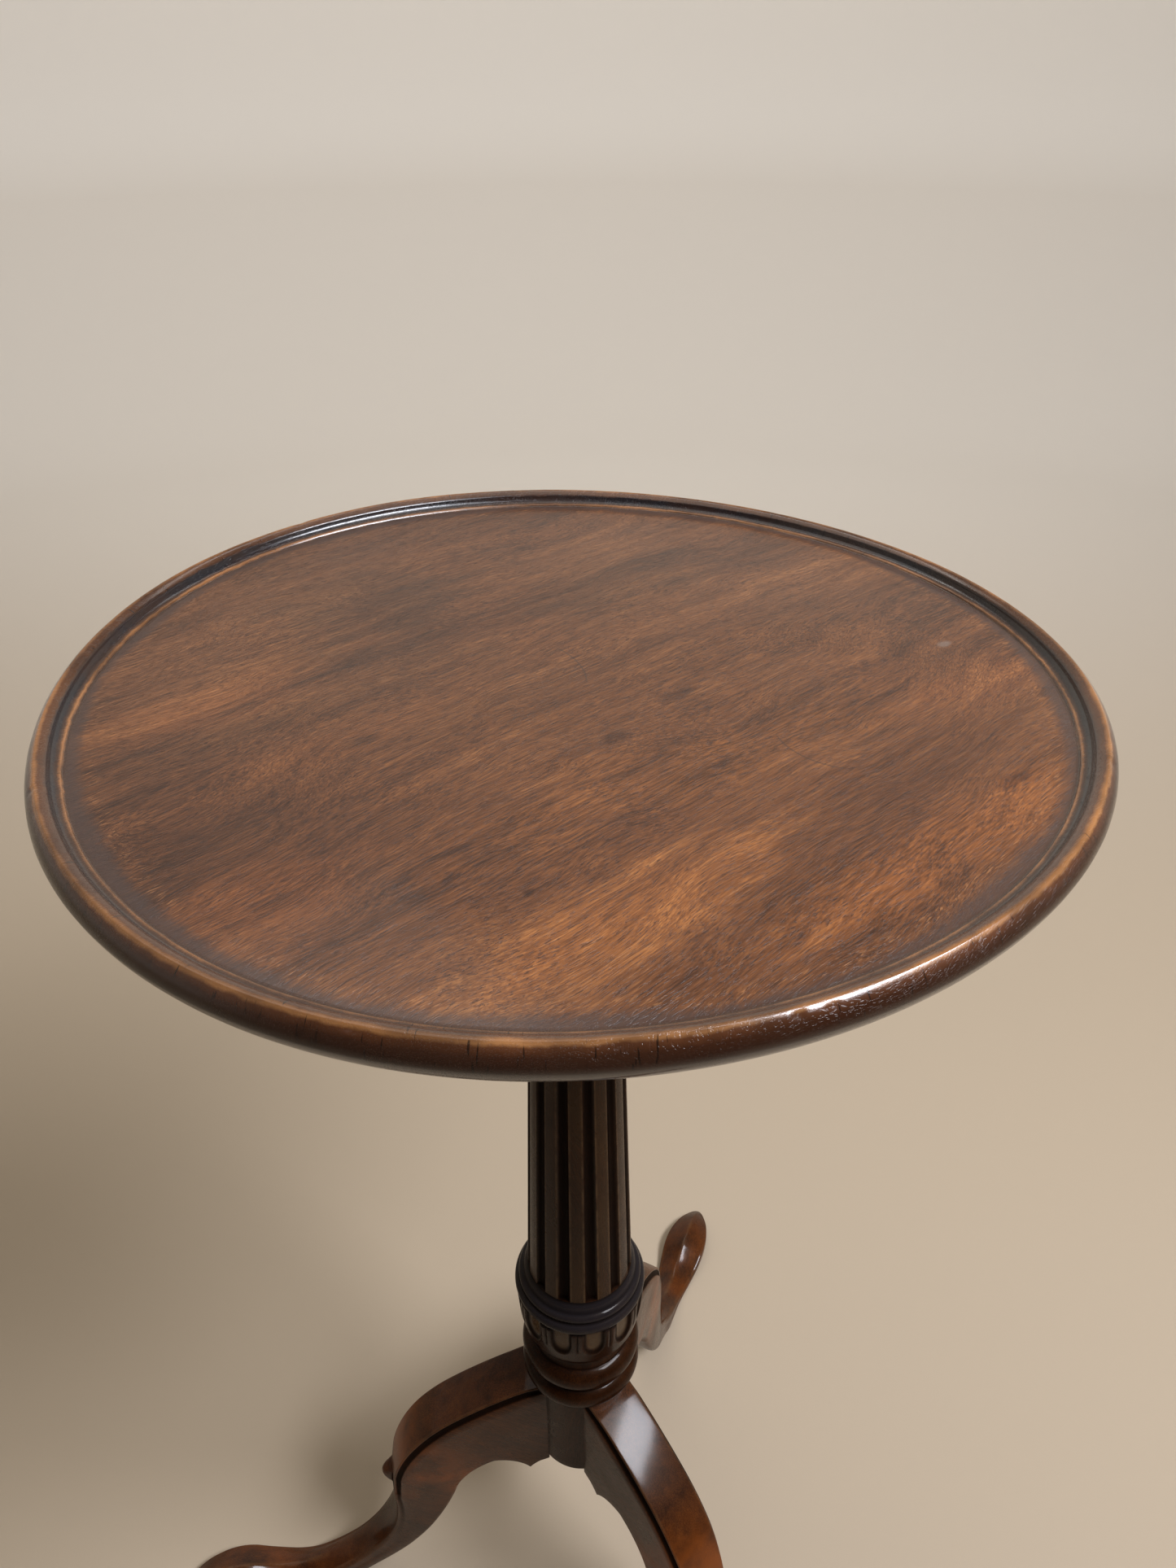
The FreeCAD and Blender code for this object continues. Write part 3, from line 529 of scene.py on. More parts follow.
def pillar_material():
    """Dark polished pillar: golden-brown lands showing wear, near-black flutes with dirt and painted shade,
    near-black collar rings, painted light in the leaf scoops.
    """
    look = Look("pillar_mahogany")
    _, colour, pores, fibre = timber(look, PILLAR_PALETTE, (0, math.radians(90), 0), (0.2, 0.4, 0.1))
    patches = look.noise(look.stretched(look.place, 60, 12), detail=3)
    land = look.times(look.attribute("land"), look.span(patches, 0.3, 0.7))
    colour = look.mix(look.times(land, 0.7), colour, (0.034, 0.0155, 0.0040))
    # near-black over the collar rings
    colour = look.mix(look.times(look.attribute("collar_black"), 0.85), colour, NEAR_BLACK)
    # dirt with painted shade in the hollows; the gold also carries a painted highlight on the scoop floors
    colour = wear_and_painted_light(look, colour, (0.150, 0.085, 0.038), wear_and_glint_share=0.7)
    # painted light: the floors of the leaf scoops lit tan
    painted_scoop_light = look.times(look.attribute("scoop"), 0.7)
    colour = look.mix(painted_scoop_light, colour, (0.080, 0.050, 0.026))
    return polished(look, colour, pores, fibre, rough=0.28, coat=0.15, coat_rough=0.07, level=0.05)


LEG_GRAIN_SLOPE = math.radians(38)


def leg_material(name, angle, offset):
    """A leg's grain runs down its own slope, from the drum to the toe."""
    look = Look(name + "_mahogany")
    grain = Matrix.Rotation(LEG_GRAIN_SLOPE, 3, "Y") @ Matrix.Rotation(math.radians(angle), 3, "Z").inverted()
    _, colour, pores, fibre = timber(look, LEG_PALETTE, tuple(grain.to_euler()), offset, figure_size=0.8)
    patches = look.span(look.noise(look.place, 34, 3), 0.3, 0.65)
    # painted light: orange patches on each knee, and fainter on each foot
    painted_glow = look.times(look.attribute("knee"), patches)
    colour = look.mix(look.times(painted_glow, 0.65), colour, (0.230, 0.055, 0.006))
    colour = wear_and_painted_light(look, colour, (0.140, 0.070, 0.030), wear_and_glint_share=0.6)
    return polished(look, colour, pores, fibre, rough=0.31, coat=0.32, coat_rough=0.14, level=0.06)


def plain_wood(name, palette, turn, offset):
    """Unseen timber: dry and oxidised, with painted shade darkening its corners, and no polish."""
    look = Look(name)
    _, colour, pores, fibre = timber(look, palette, turn, offset)
    # painted shade: darker where the occlusion node finds a corner
    corners = look.span(look.crevices(0.012), 0.35, 0.9, 0.8, 0)
    colour = look.mix(corners, colour, (0.020, 0.012, 0.008))
    dust = look.span(look.noise(look.place, 60, 5, 0.7), 0.45, 0.8, 0, 0.16)
    colour = look.mix(dust, colour, (0.13, 0.090, 0.058))
    roughness = look.span(fibre, 0.3, 0.7, 0.55, 0.78)
    saw = look.noise(look.stretched(look.place, 340, 30), detail=2)
    height = look.plus(look.minus(fibre, pores), look.times(saw, 0.5))
    return look.finish(colour, roughness, look.bump(height, 0.55, 0.00035), Specular_IOR_Level=0.2)


def metal(name, bright, dull, tarnish, rough, pitting, metallic=1.0):
    """Old hand-finished metal: rubbed bright on its faces, tarnished in corners, faintly pitted."""
    look = Look(name)
    patches = look.noise(look.place, 120, 5, 0.65, 0.6)
    colour = look.ramp(patches, [(0.30, tarnish), (0.48, dull), (0.66, bright)])
    corners = look.span(look.crevices(0.003), 0.4, 0.95, 0.85, 0)
    colour = look.mix(corners, colour, tarnish)
    roughness = look.span(patches, 0.3, 0.7, rough + 0.2, rough)
    pits = look.span(look.noise(look.place, 1400, 3, 0.6), 0.35, 0.5)
    brushed = look.noise(look.stretched(look.place, 120, 2400), detail=2)
    height = look.plus(look.times(pits, pitting), look.times(brushed, 0.3))
    return look.finish(colour, roughness, look.bump(height, 0.4, 0.0001), Metallic=metallic)


# --- pieces -----------------------------------------------------------------------------------------


RIM_SEGMENTS = 720
CUP_RISE = 3.2 * MM        # how far the old board has cupped at its edge, up or down
CUP_TURN = math.radians(-78)


def cupping(x, y):
    """Rise of the board at a place: it has cupped across its grain."""
    share = np.hypot(x, y) / TOP_RADIUS
    return CUP_RISE * np.cos(2 * (np.arctan2(y, x) - CUP_TURN)) * share ** 4


# dents and cuts on the rim: angle in degrees, radius of the rim there, rise above the field in mm,
# half width along the rim, half width across it, depth, how pale the bruise is
NICKS = [
    (-144.3, 202.6, 5.4, 1.8, 0.9, 0.9, 0.8),
    (-110.4, 202.6, 5.2, 0.7, 1.8, 0.8, 0.3),
    (-107.5, 202.9, 4.8, 0.7, 1.6, 0.5, 0.2),
    (166.1, 201.5, 6.0, 0.9, 2.6, 0.6, 0.0),
    (170.2, 201.5, 6.0, 0.8, 2.2, 0.5, 0.0),
    (-124.0, 202.5, 5.4, 3.5, 1.8, 0.35, 0.0),
    (-60.0, 202.0, 5.8, 2.6, 1.7, 0.4, 0.0),
    (20.0, 202.5, 5.4, 2.2, 1.6, 0.5, 0.0),
    (95.0, 202.0, 5.8, 3.0, 1.8, 0.45, 0.0),
]


def nick_shares(radius, height, angle):
    """For each nick, how much of it each vertex feels, from 0 to 1."""
    for turn, at_radius, rise, along, across, depth, pale in NICKS:
        off = (angle - math.radians(turn) + math.pi) % (2 * math.pi) - math.pi
        span = np.hypot(radius - at_radius * MM, height - FIELD_HEIGHT - rise * MM)
        share = np.exp(-(off * TOP_RADIUS / (along * MM)) ** 2 - (span / (across * MM)) ** 2)
        yield share, depth * MM, pale


def tabletop():
    """The board, turned from the solid: beaded rim, cove, fillet and sunken field, now cupped and showing
    wear.
    """
    low, field, radius = TOP_LOW.z / MM, FIELD_HEIGHT / MM, TOP_RADIUS / MM
    ledge = FIELD_RADIUS / MM
    section = trace([
        (radius * 0.72, low),
        (radius - 14, low),
        (radius - 13.4, low + 0.03),
        (radius - 9, low + 0.9, 12),
        (radius, field - 1.5, 10.5),
        (radius - 4.5, field + 6.2, 7),
        (radius - 8.2, field + 4.6, 1.6),
        (radius - 8.7, field + 3.6, -3.4),
        (ledge + 1.4, field + 1.1),
        (ledge + 0.3, field + 1.1, 0.8),
        (ledge - 0.4, field + 0.4, -0.8),
        (ledge - 0.9, field),
        (ledge - 2.4, field),
        (ledge - 4.4, field),
    ], step=0.55, line_step=2.5)
    flat = [(r, field) for r in (180, 170, 158, 144, 128, 110, 90, 70, 50, 30, 12)]
    bottom = [(r, low) for r in (12, 40, 70, 100, 125)]
    profile = np.array([(0, low), *bottom, *section, *flat, (0, field)]) * MM
    angles = np.arange(RIM_SEGMENTS) / RIM_SEGMENTS * 2 * math.pi

    def shape(r, z, angle):
        x, y = r * np.cos(angle), r * np.sin(angle)
        outer = np.clip((r - FIELD_RADIUS) / (TOP_RADIUS - FIELD_RADIUS), 0, 1)
        turns = wander(np.cos(angle[0]), np.sin(angle[0]), 0 * angle[0], 3.0, 4.0)
        fine = wander(np.cos(angle[0]), np.sin(angle[0]), 0 * angle[0], 14.0, 9.0)
        uneven = (0.28 * turns + 0.10 * fine)[None, :] * MM * outer
        upper = z > FIELD_HEIGHT - 2 * MM
        z = z + cupping(x, y) + uneven * upper
        r = r + 0.5 * uneven * outer
        for share, depth, _ in nick_shares(r, z - cupping(x, y), angle):
            r = r - share * depth * 0.6
            z = z - share * depth * 0.8
        return r, z

    board = lathe("top_board", profile, angles, shape)
    crest = int(np.argmax(profile[:, 1]))
    order = np.arange(len(profile))
    along = (lengths(profile)[crest] - lengths(profile)) / MM
    on_rim = (profile[:, 0] > FIELD_RADIUS - 1.2 * MM) & (along > -40)
    in_field = (profile[:, 1] < FIELD_HEIGHT + 0.2 * MM) & (order > crest)
    raw = np.where(order < crest, np.clip((along - 17) / 4, 0, 1), 0)
    for label, values, ends in (("rim", along, along[[0, -1]]), ("edge", on_rim * (1 - raw), [0, 0]),
                                ("field", in_field * 1.0, [0, 1]), ("raw", raw, [1, 0])):
        paint(board, label, over_rings(values, RIM_SEGMENTS, ends))
    radius_grid = np.repeat(profile[1:-1, 0], RIM_SEGMENTS)
    height_grid = np.repeat(profile[1:-1, 1], RIM_SEGMENTS)
    angle_grid = np.tile(angles, len(profile) - 2)
    chip = sum(share * pale for share, _, pale in nick_shares(radius_grid, height_grid, angle_grid))
    paint(board, "chip", np.concatenate([np.clip(chip * 1.6 - 0.5, 0, 1), [0, 0]]))
    return board


FLUTES = 12
FLUTE_TURN = math.radians(5)
FLUTE_RADIUS, FLUTE_DEPTH = 4.6 * MM, 2.1 * MM
PITCH = 2 * math.pi / FLUTES
ARRIS_TURN = 0.006         # half the angle of the band round a flute's arris, in radians
DRUM_HEAD = PILLAR_LOW.z + DRUM_HEIGHT
FLUTE_LOW, FLUTE_HIGH = PILLAR_LOW.z + 190 * MM, BLOCK_LOW.z - 14 * MM
LEAF_LOW, COLLAR_LOW = DRUM_HEAD + 63 * MM, DRUM_HEAD + 85 * MM
LEAF_HALF, LEAF_ROUND, SCOOP_DEPTH = 6.6 * MM, 12 * MM, 2.5 * MM


def flute_angles():
    """Angles round the pillar, close together at the flutes' arrises, and half a flute's angle."""
    shaft, reach = SHAFT_FOOT_RADIUS, SHAFT_FOOT_RADIUS + FLUTE_RADIUS - FLUTE_DEPTH
    edge = math.acos((reach ** 2 + shaft ** 2 - FLUTE_RADIUS ** 2) / (2 * reach * shaft))
    half = np.concatenate([
        np.linspace(0, edge - ARRIS_TURN, 8, endpoint=False),
        [edge - ARRIS_TURN, edge, edge + ARRIS_TURN],
        np.linspace(edge + ARRIS_TURN, PITCH / 2, 8)[1:],
    ])
    one = np.concatenate([-half[:0:-1], half[:-1]])
    return np.concatenate([FLUTE_TURN + k * PITCH + one for k in range(FLUTES)]), edge


def pillar_profile():
    """The turned outline, from the drum's foot to the tenon's head."""
    foot, head, flute_foot = PILLAR_LOW.z / MM, DRUM_HEAD / MM, FLUTE_LOW / MM
    drum, collar, shaft = DRUM_RADIUS / MM, COLLAR_RADIUS / MM, SHAFT_FOOT_RADIUS / MM
    shoulder, tenon, tenon_radius = BLOCK_LOW.z / MM, PILLAR_HIGH.z / MM, TENON_RADIUS / MM
    # from the drum up: base ring, bulb, hollow neck, leafed vase, two rings of the collar, cove, shaft
    section = trace([
        (drum - 1.2, foot, 1.2),
        (drum, foot + 1.2),
        (drum, head - 0.3),
        (drum + 0.3, head),
        (drum + 1.2, head),
        (drum + 1.6, head + 0.4, 8.6),
        (drum + 1.5, head + 15.9),
        (drum + 1.0, head + 16.7),
        (drum + 1.0, head + 18),
        (drum + 1.5, head + 19.4, 9.4),
        (drum - 0.3, head + 36.4, -11),
        (drum + 1.6, head + 49.6, 9),
        (drum + 5.2, head + 56, 120),
        (collar - 1, head + 84.6),
        (collar - 2.2, head + 85.6),
        (collar - 2, head + 86.5, 4.4),
        (collar - 2.1, head + 93.4),
        (collar - 3.6, head + 94.4, 3.2),
        (collar - 4.8, head + 99.4),
        (collar - 6, head + 100.2),
        (collar - 6.3, head + 103.6),
        (shaft + 0.9, head + 105.2),
        (shaft, head + 106.6),
        (shaft, flute_foot),
    ], step=0.62, line_step=6)
    taper = (SHAFT_HEAD_RADIUS / MM - shaft) / (shoulder - flute_foot)
    heights = [flute_foot + 0.05, flute_foot + 1, *np.linspace(flute_foot + 6, shoulder - 20, 34),
               *np.linspace(shoulder - 19, shoulder - 12, 10), shoulder - 6, shoulder]
    upper = [(shaft + taper * (z - flute_foot), z) for z in heights]
    end = [(tenon_radius + 0.02, shoulder), (tenon_radius, shoulder + 0.1),
           (tenon_radius, tenon - 0.6), (tenon_radius - 0.6, tenon)]
    return np.array([(0, foot), (12, foot), (22, foot), *section, *upper, *end, (0, tenon)]) * MM


def flute_cut(r, z, turn):
    """Depth of a flute at a place on the shaft, turn being the angle from the flute's middle."""
    scale = r / SHAFT_FOOT_RADIUS
    rise = np.clip((z - (FLUTE_HIGH - FLUTE_RADIUS * 0.8)) / (FLUTE_RADIUS * 0.8), 0, 1)
    reach = r + (FLUTE_RADIUS - FLUTE_DEPTH * np.sqrt(1 - rise ** 2)) * scale
    under = (FLUTE_RADIUS * scale) ** 2 - (reach * np.sin(turn)) ** 2
    near = reach * np.cos(turn) - np.sqrt(np.maximum(under, 0))
    inside = (under > 0) & (z > FLUTE_LOW) & (z < FLUTE_HIGH)
    return np.where(inside, np.maximum(r - near, 0), 0)


def leaf_cut(r, z, turn):
    """Depth of a round-ended scoop under the collar, and of the groove between it and the next."""
    side = abs(turn) * r
    drop = np.maximum(LEAF_LOW + LEAF_ROUND - z, 0) * LEAF_HALF / LEAF_ROUND
    room = np.clip((LEAF_HALF - np.hypot(side, drop)) / (4.4 * MM), 0, 1)
    scoop = SCOOP_DEPTH * np.sin(room * math.pi / 2) ** 0.8
    groove = 0.9 * MM * np.clip(1 - (PITCH / 2 - abs(turn)) * r / (0.8 * MM), 0, 1)
    groove = groove * np.clip((z - LEAF_LOW - 3 * MM) / (3 * MM), 0, 1)
    under_collar = (z > LEAF_LOW) & (z <= COLLAR_LOW) & (r > DRUM_RADIUS + 3 * MM)
    return np.where(under_collar, scoop + groove, 0)


def pillar():
    """The turned pillar with its scooped leaves and tapering flutes."""
    profile = pillar_profile()
    angles, edge = flute_angles()
    local = (angles - FLUTE_TURN + PITCH / 2) % PITCH - PITCH / 2

    def shape(r, z, angle):
        turn = np.broadcast_to(local, angle.shape)
        return r - leaf_cut(r, z, turn) - flute_cut(r, z, turn), z

    post = lathe("turned_pillar", profile, angles, shape)
    r = profile[1:-1, 0][:, None] + 0 * local[None, :]
    z = profile[1:-1, 1][:, None] + 0 * local[None, :]
    turn = np.broadcast_to(local, r.shape)
    flutes = flute_cut(r, z, turn) / FLUTE_DEPTH
    leaves = leaf_cut(r, z, turn) / SCOOP_DEPTH
    rings = relief(profile, 2.4 * MM)[1:-1] / (0.32 * MM)
    rings = np.where(profile[1:-1, 0] > TENON_RADIUS + 1 * MM, rings, 0)[:, None]
    in_shaft = (z > FLUTE_LOW) & (z < BLOCK_LOW.z - 1 * MM)
    # painted shade on the sloping walls of the leaf scoops
    leaf_wall_shade = np.clip(leaves * 4, 0, 1) * np.clip(2.2 - leaves * 2.6, 0, 1)
    near_edge = np.exp(-((abs(turn) - edge - 0.012) / 0.018) ** 2) * in_shaft
    flute_dirt_and_shade = np.clip(flutes * 1.3 + 0.15 * (flutes > 0), 0, 1) * 0.9
    painted = {
        # dirt with painted shade in the flutes, on the scoop walls and in the ring hollows
        "hollow": np.maximum(np.maximum(flute_dirt_and_shade, leaf_wall_shade * 0.8), np.clip(rings, 0, 1)),
        # bare wood on the arrises and ring crests, and a painted highlight on the scoop floors
        "wear_and_painted_light": np.clip(0.55 * near_edge + np.clip(-rings, 0, 1) * 0.10 + 0.5 * (leaves > 0.85), 0, 1),
        "land": in_shaft * (flutes <= 0) * np.clip((abs(turn) - edge) / 0.02, 0, 1),
        "collar_black": np.clip((z - COLLAR_LOW + 1 * MM) / (2 * MM), 0, 1) * (z < DRUM_HEAD + 107 * MM),
        # where the painted light on the scoop floors goes
        "scoop": np.clip(leaves * 4 - 2.6, 0, 1),
    }
    for label, values in painted.items():
        paint(post, label, np.concatenate([values.ravel(), [0, 0]]))
    return post


# --- legs -------------------------------------------------------------------------------------------


def leg_lines():
    """The leg's upper and lower lines in its own plane, in mm, both from the drum out to the toe."""
    drum, foot, reach = DRUM_RADIUS / MM, PILLAR_LOW.z / MM, LEG_REACH / MM
    under = trace([
        (drum - 6, foot - 5, -22),
        (drum + 7, foot - 14, -30),
        (drum + 30, foot + 1, -44),
        (drum + 58, foot - 32, 225),
        (reach - 120.5, 1.5),
        (reach - 117.5, 0),
        (reach - 4.5, 0),
        (reach - 1.2, 1.6, 2.2),
        (reach, 4, 4),
    ], step=0.8)
    upper = trace([
        (reach, 4, 50),
        (reach - 23.5, 19.5, 60),
        (reach - 50.5, 18.5, -60),
        (reach - 88.5, 13, -94),
        (drum + 100.4, 115),
        (drum + 100.8, 119, 1.2),
        (drum + 102.2, 119.9, 5.2),
        (drum + 103.4, 129.7, 5.2),
        (drum + 99.9, 131.4),
        (drum + 99.2, 133.8),
        (drum + 98.6, 136.5, 100),
        (drum + 54, 201, 258),
        (drum - 5, foot + DRUM_HEIGHT / MM - 0.5),
    ], step=0.8)
    return upper[::-1], under


STEP_HEIGHT = 4.2                  # height of the sunk step beside the top of the knee, in mm
LIP_HALF_WIDTH = 6.5               # of the scroll, in mm
LIP_BASE = ((115, 136.5), (130.2, 128.4))       # heights, and distances from the axis, without the scroll
LIP_START, LIP_END = 142, 180      # where the scroll lies along the upper line, in mm
SHOULDER = 12                      # mm of the upper line that fit round the drum
TONGUE_ROOT, TONGUE_TIP = 5.2, 9.0 # half widths of the dovetail tongue at the drum and inside it, in mm
TONGUE_INNER, TONGUE_HEIGHT = 14, 76
# rows of points round half a section: top, rounded arris, sunk step, side, lower corner, underside
TOP_ROWS, ARRIS_ROWS, STEP_ROWS, SIDE_ROWS, CORNER_ROWS, SOLE_ROWS = 16, 6, 11, 10, 6, 5
# how far along the upper and the lower line, in mm, each section of the leg is taken
SECTION_PAIRS = [(0, 0), (30, 16), (65, 36), (115, 68), (146, 86), (170, 97), (193, 118), (236, 163),
                 (272, 212), (308, 258), (347, 300), (373, 328), (394, 345)]


def leg_half_width(radius):
    """Half the leg's width at a distance from the pillar's axis, in mm: knee, ankle, pointed foot."""
    reach = LEG_REACH / MM
    knee, ankle, sole = 17.0, 11.5, 17.5
    slim = np.clip((radius - 104) / 58, 0, 1)
    width = knee + (ankle - knee) * slim ** 2 * (3 - 2 * slim)
    spread = np.clip((radius - 188) / (reach - 43.5 - 188), 0, 1)
    width = width + (sole - ankle) * spread ** 2 * (3 - 2 * spread)
    toe = np.clip((radius - (reach - 43.5)) / 43.5, 0, 1)
    return width * np.clip(1 - toe ** 2, 0, 1) ** 0.72


def leg_section(depth, half, crown, lip, peak, arris, step, bottom, band):
    """Half of a section, from the middle of its top to the middle of its underside.

    Each row is (distance sideways, distance down, hollow: dirt and painted shade, wear). crown is how far the
    arris lies below the middle, lip how far the scroll stands out, peak how ridged the top is, step how far
    the top is set in from the side below it, bottom the rounding underneath and band the foot's upright edge.
    """
    rows = []
    flat = half - step - arris
    for k in range(TOP_ROWS):
        share = k / TOP_ROWS
        side = flat * share
        ridge = 0.5 * np.exp(-((side / 1.6) ** 2)) * (crown > 5)
        ball = lip * (1 - max(0, 1 - (side / LIP_HALF_WIDTH) ** 2) ** 0.5)
        rows.append((side, crown * share ** peak + ball, min(1, lip / 3) * (side > LIP_HALF_WIDTH), ridge))
    for k in range(ARRIS_ROWS):
        turn = k / (ARRIS_ROWS - 1) * math.pi / 2
        rows.append((flat + arris * math.sin(turn), crown + lip + arris * (1 - math.cos(turn)), 0, 0.35))
    start = crown + lip + arris
    height = min(STEP_HEIGHT, (depth - start) * 0.3)
    for k in range(STEP_ROWS):
        share = (k + 1) / (STEP_ROWS + 1)
        cove = step * (1 - math.cos(share * math.pi / 2)) - 0.35 * step * math.sin(share * math.pi)
        rows.append((half - step + cove, start + height * share, min(1, step * math.sin(share * math.pi)), 0))
    start += height
    end = depth - bottom
    for k in range(SIDE_ROWS):
        share = k / (SIDE_ROWS - 1)
        bulge = 0.35 * math.sin(share * math.pi) - band * share ** 2
        rows.append((half + bulge, start + (end - start) * share, 0, 0))
    foot = half - band
    for k in range(CORNER_ROWS):
        turn = (k + 1) / CORNER_ROWS * math.pi / 2
        rows.append((foot - bottom * (1 - math.cos(turn)), end + bottom * math.sin(turn), 0, 0.4))
    for k in range(SOLE_ROWS):
        rows.append(((foot - bottom) * (1 - (k + 1) / SOLE_ROWS), depth, 0, 0))
    return np.array(rows)


def on_line(points, along, distance):
    """The point of a line at a distance along it."""
    return np.array([np.interp(distance, along, points[:, k]) for k in (0, 1)])


def leg_ring(station, beneath, upper, under):
    """The leg's section between two places along its lines, as points in mm and (hollow, worn) pairs.

    upper and under are each a line's points and their distances along it.
    """
    top_point, low_point = on_line(*upper, station), on_line(*under, beneath)
    depth = max(np.hypot(*(low_point - top_point)), 0.4)
    way = (low_point - top_point) / depth
    here = leg_half_width((top_point[0] + low_point[0]) / 2)
    half = max(here, 0.5)
    fit = min(1, depth / 12)       # the foot's tip is too thin for the full roundings
    crown = np.interp(station, [0, 120, 200, 260, 300, 345, 374, upper[1][-1]],
                      [0.5, 0.9, 1.2, 3.0, 5.5, 8.5, 8.5, 1.5])
    peak = np.interp(station, [200, 300, 345], [2.2, 1.8, 1.15])
    arris = np.interp(station, [0, 175, 230, 300, 345, 395], [1.0, 1.0, 2.6, 2.6, 1.2, 0.8])
    step = np.interp(station, [0, 20, 143, 172, 225], [1.4, 2.1, 2.1, 0.8, 0])
    bottom = np.interp(station, [0, 120, 230, 290, 320, 395], [1.4, 2.2, 4.0, 3.0, 0.9, 0.8])
    band = np.interp(station, [300, 345], [0, 1.6])
    lip = 0
    if LIP_START < station < LIP_END:      # how far the scroll stands out of the plain line
        lip = max(0, top_point[0] - np.interp(top_point[1], *LIP_BASE))
    rows = leg_section(depth, half, min(crown, depth * 0.55) * fit, lip, peak, min(arris, here * 0.4) * fit,
                       step, min(bottom, depth * 0.2), min(band, here * 0.2))
    centre = top_point + rows[:, 1][:, None] * way
    sideways = rows[:, 0] * leg_half_width(centre[:, 0]) / half
    out = centre[:, 0]
    if station < SHOULDER:                 # the shoulder follows the round of the drum
        cope = np.sqrt(np.maximum((DRUM_RADIUS / MM - 0.5) ** 2 - sideways ** 2, 0))
        out = cope + (out - cope) * (station / SHOULDER)
    right = np.stack([out, -sideways, centre[:, 1]], 1)
    left = np.stack([out, sideways, centre[:, 1]], 1)[-2:0:-1]
    return np.concatenate([right, left]), np.concatenate([rows[:, 2:], rows[-2:0:-1, 2:]])


def cap_faces(base, around):
    """Faces that close a ring whose two halves mirror each other, from its first point at base."""
    faces = []
    for j in range(around // 2):
        quad = [base + j, base + (around - j) % around, base + (around - j - 1) % around, base + j + 1]
        quad = tuple(dict.fromkeys(quad))
        if len(quad) > 2:
            faces.append(quad)
    return faces


def carved_leg(name, angle):
    """One cabriole leg, lofted section by section, with its dovetail tongue."""
    upper, under = [(line, lengths(line)) for line in leg_lines()]
    end, under_end = upper[1][-1], under[1][-1]
    stations = np.concatenate([
        np.linspace(0, LIP_START, 80, endpoint=False),
        np.linspace(LIP_START, LIP_END, 54, endpoint=False),
        np.linspace(LIP_END, end, 115),
    ])
    beneath = np.interp(stations, *np.array([*SECTION_PAIRS, (end, under_end)]).T)
    rings, shares = zip(*[leg_ring(*places, upper, under) for places in zip(stations, beneath)])
    around = len(rings[0])
    points, shares = np.concatenate(rings) * MM, np.concatenate(shares)
    # where the painted orange light goes: each knee, and each foot at half strength
    knee = np.exp(-((stations - 125) / 36) ** 2) + 0.5 * np.exp(-((stations - 330) / 40) ** 2)
    knee = np.repeat(np.minimum(knee, 1), around)
    last = (len(stations) - 1) * around
    faces = tube_faces(len(stations), around) + cap_faces(0, around)
    faces += [face[::-1] for face in cap_faces(last, around)]

    start = len(points)
    foot = PILLAR_LOW.z / MM
    shape = [(TONGUE_INNER, -TONGUE_TIP), (DRUM_RADIUS / MM + 1, -TONGUE_ROOT),
             (DRUM_RADIUS / MM + 1, TONGUE_ROOT), (TONGUE_INNER, TONGUE_TIP)]
    tongue = np.array([(x, y, z) for z in (foot - 0.15, foot + TONGUE_HEIGHT) for x, y in shape]) * MM
    faces += [tuple(start + k for k in face) for face in
              ((3, 2, 1, 0), (4, 5, 6, 7), (0, 1, 5, 4), (1, 2, 6, 5), (2, 3, 7, 6), (3, 0, 4, 7))]
    leg = mesh_object("carved_" + name, np.concatenate([points, tongue]), faces)
    polygons = leg.data.polygons
    polygons.foreach_set("use_smooth", [polygon.vertices[0] < start for polygon in polygons])
    # the hollow share is dirt with painted shade, in the sunk step and beside the scroll
    for label, values in (("hollow", shares[:, 0]), ("wear_and_painted_light", shares[:, 1]), ("knee", knee)):
        paint(leg, label, np.concatenate([values, np.zeros(len(tongue))]))
    clean = bmesh.new()
    clean.from_mesh(leg.data)
    bmesh.ops.remove_doubles(clean, verts=clean.verts, dist=WELD)
    bmesh.ops.recalc_face_normals(clean, faces=clean.faces)
    clean.to_mesh(leg.data)
    clean.free()
    leg.data.transform(Matrix.Rotation(math.radians(angle), 4, "Z"))
    return leg


# --- smaller pieces ---------------------------------------------------------------------------------


def eased(node, name, width, segments=2):
    """A copy of a CAD node with its sharp edges eased, as a plane or a file leaves them."""
    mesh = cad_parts[node].data.copy()
    mesh.name = name
    shape = bmesh.new()
    shape.from_mesh(mesh)
    bmesh.ops.remove_doubles(shape, verts=shape.verts, dist=WELD)
    bmesh.ops.dissolve_limit(shape, angle_limit=math.radians(1), verts=shape.verts, edges=shape.edges)
    for face in shape.faces:
        face.smooth = True
    shape.to_mesh(mesh)
    shape.free()
    made = bpy.data.objects.new(name, mesh)
    bpy.context.scene.collection.objects.link(made)
    bevel = made.modifiers.new("eased_edges", "BEVEL")
    bevel.width = width
    bevel.segments = segments
    bevel.limit_method = "ANGLE"
    bevel.angle_limit = math.radians(35)
    bevel.harden_normals = True
    return made


def bearer(node, name):
    """A bearer under the board, which has moved with the board's cupping."""
    made = eased(node, name, 1.2 * MM, 3)
    for vertex in made.data.vertices:
        vertex.co.z += cupping(vertex.co.x, vertex.co.y)
    return made


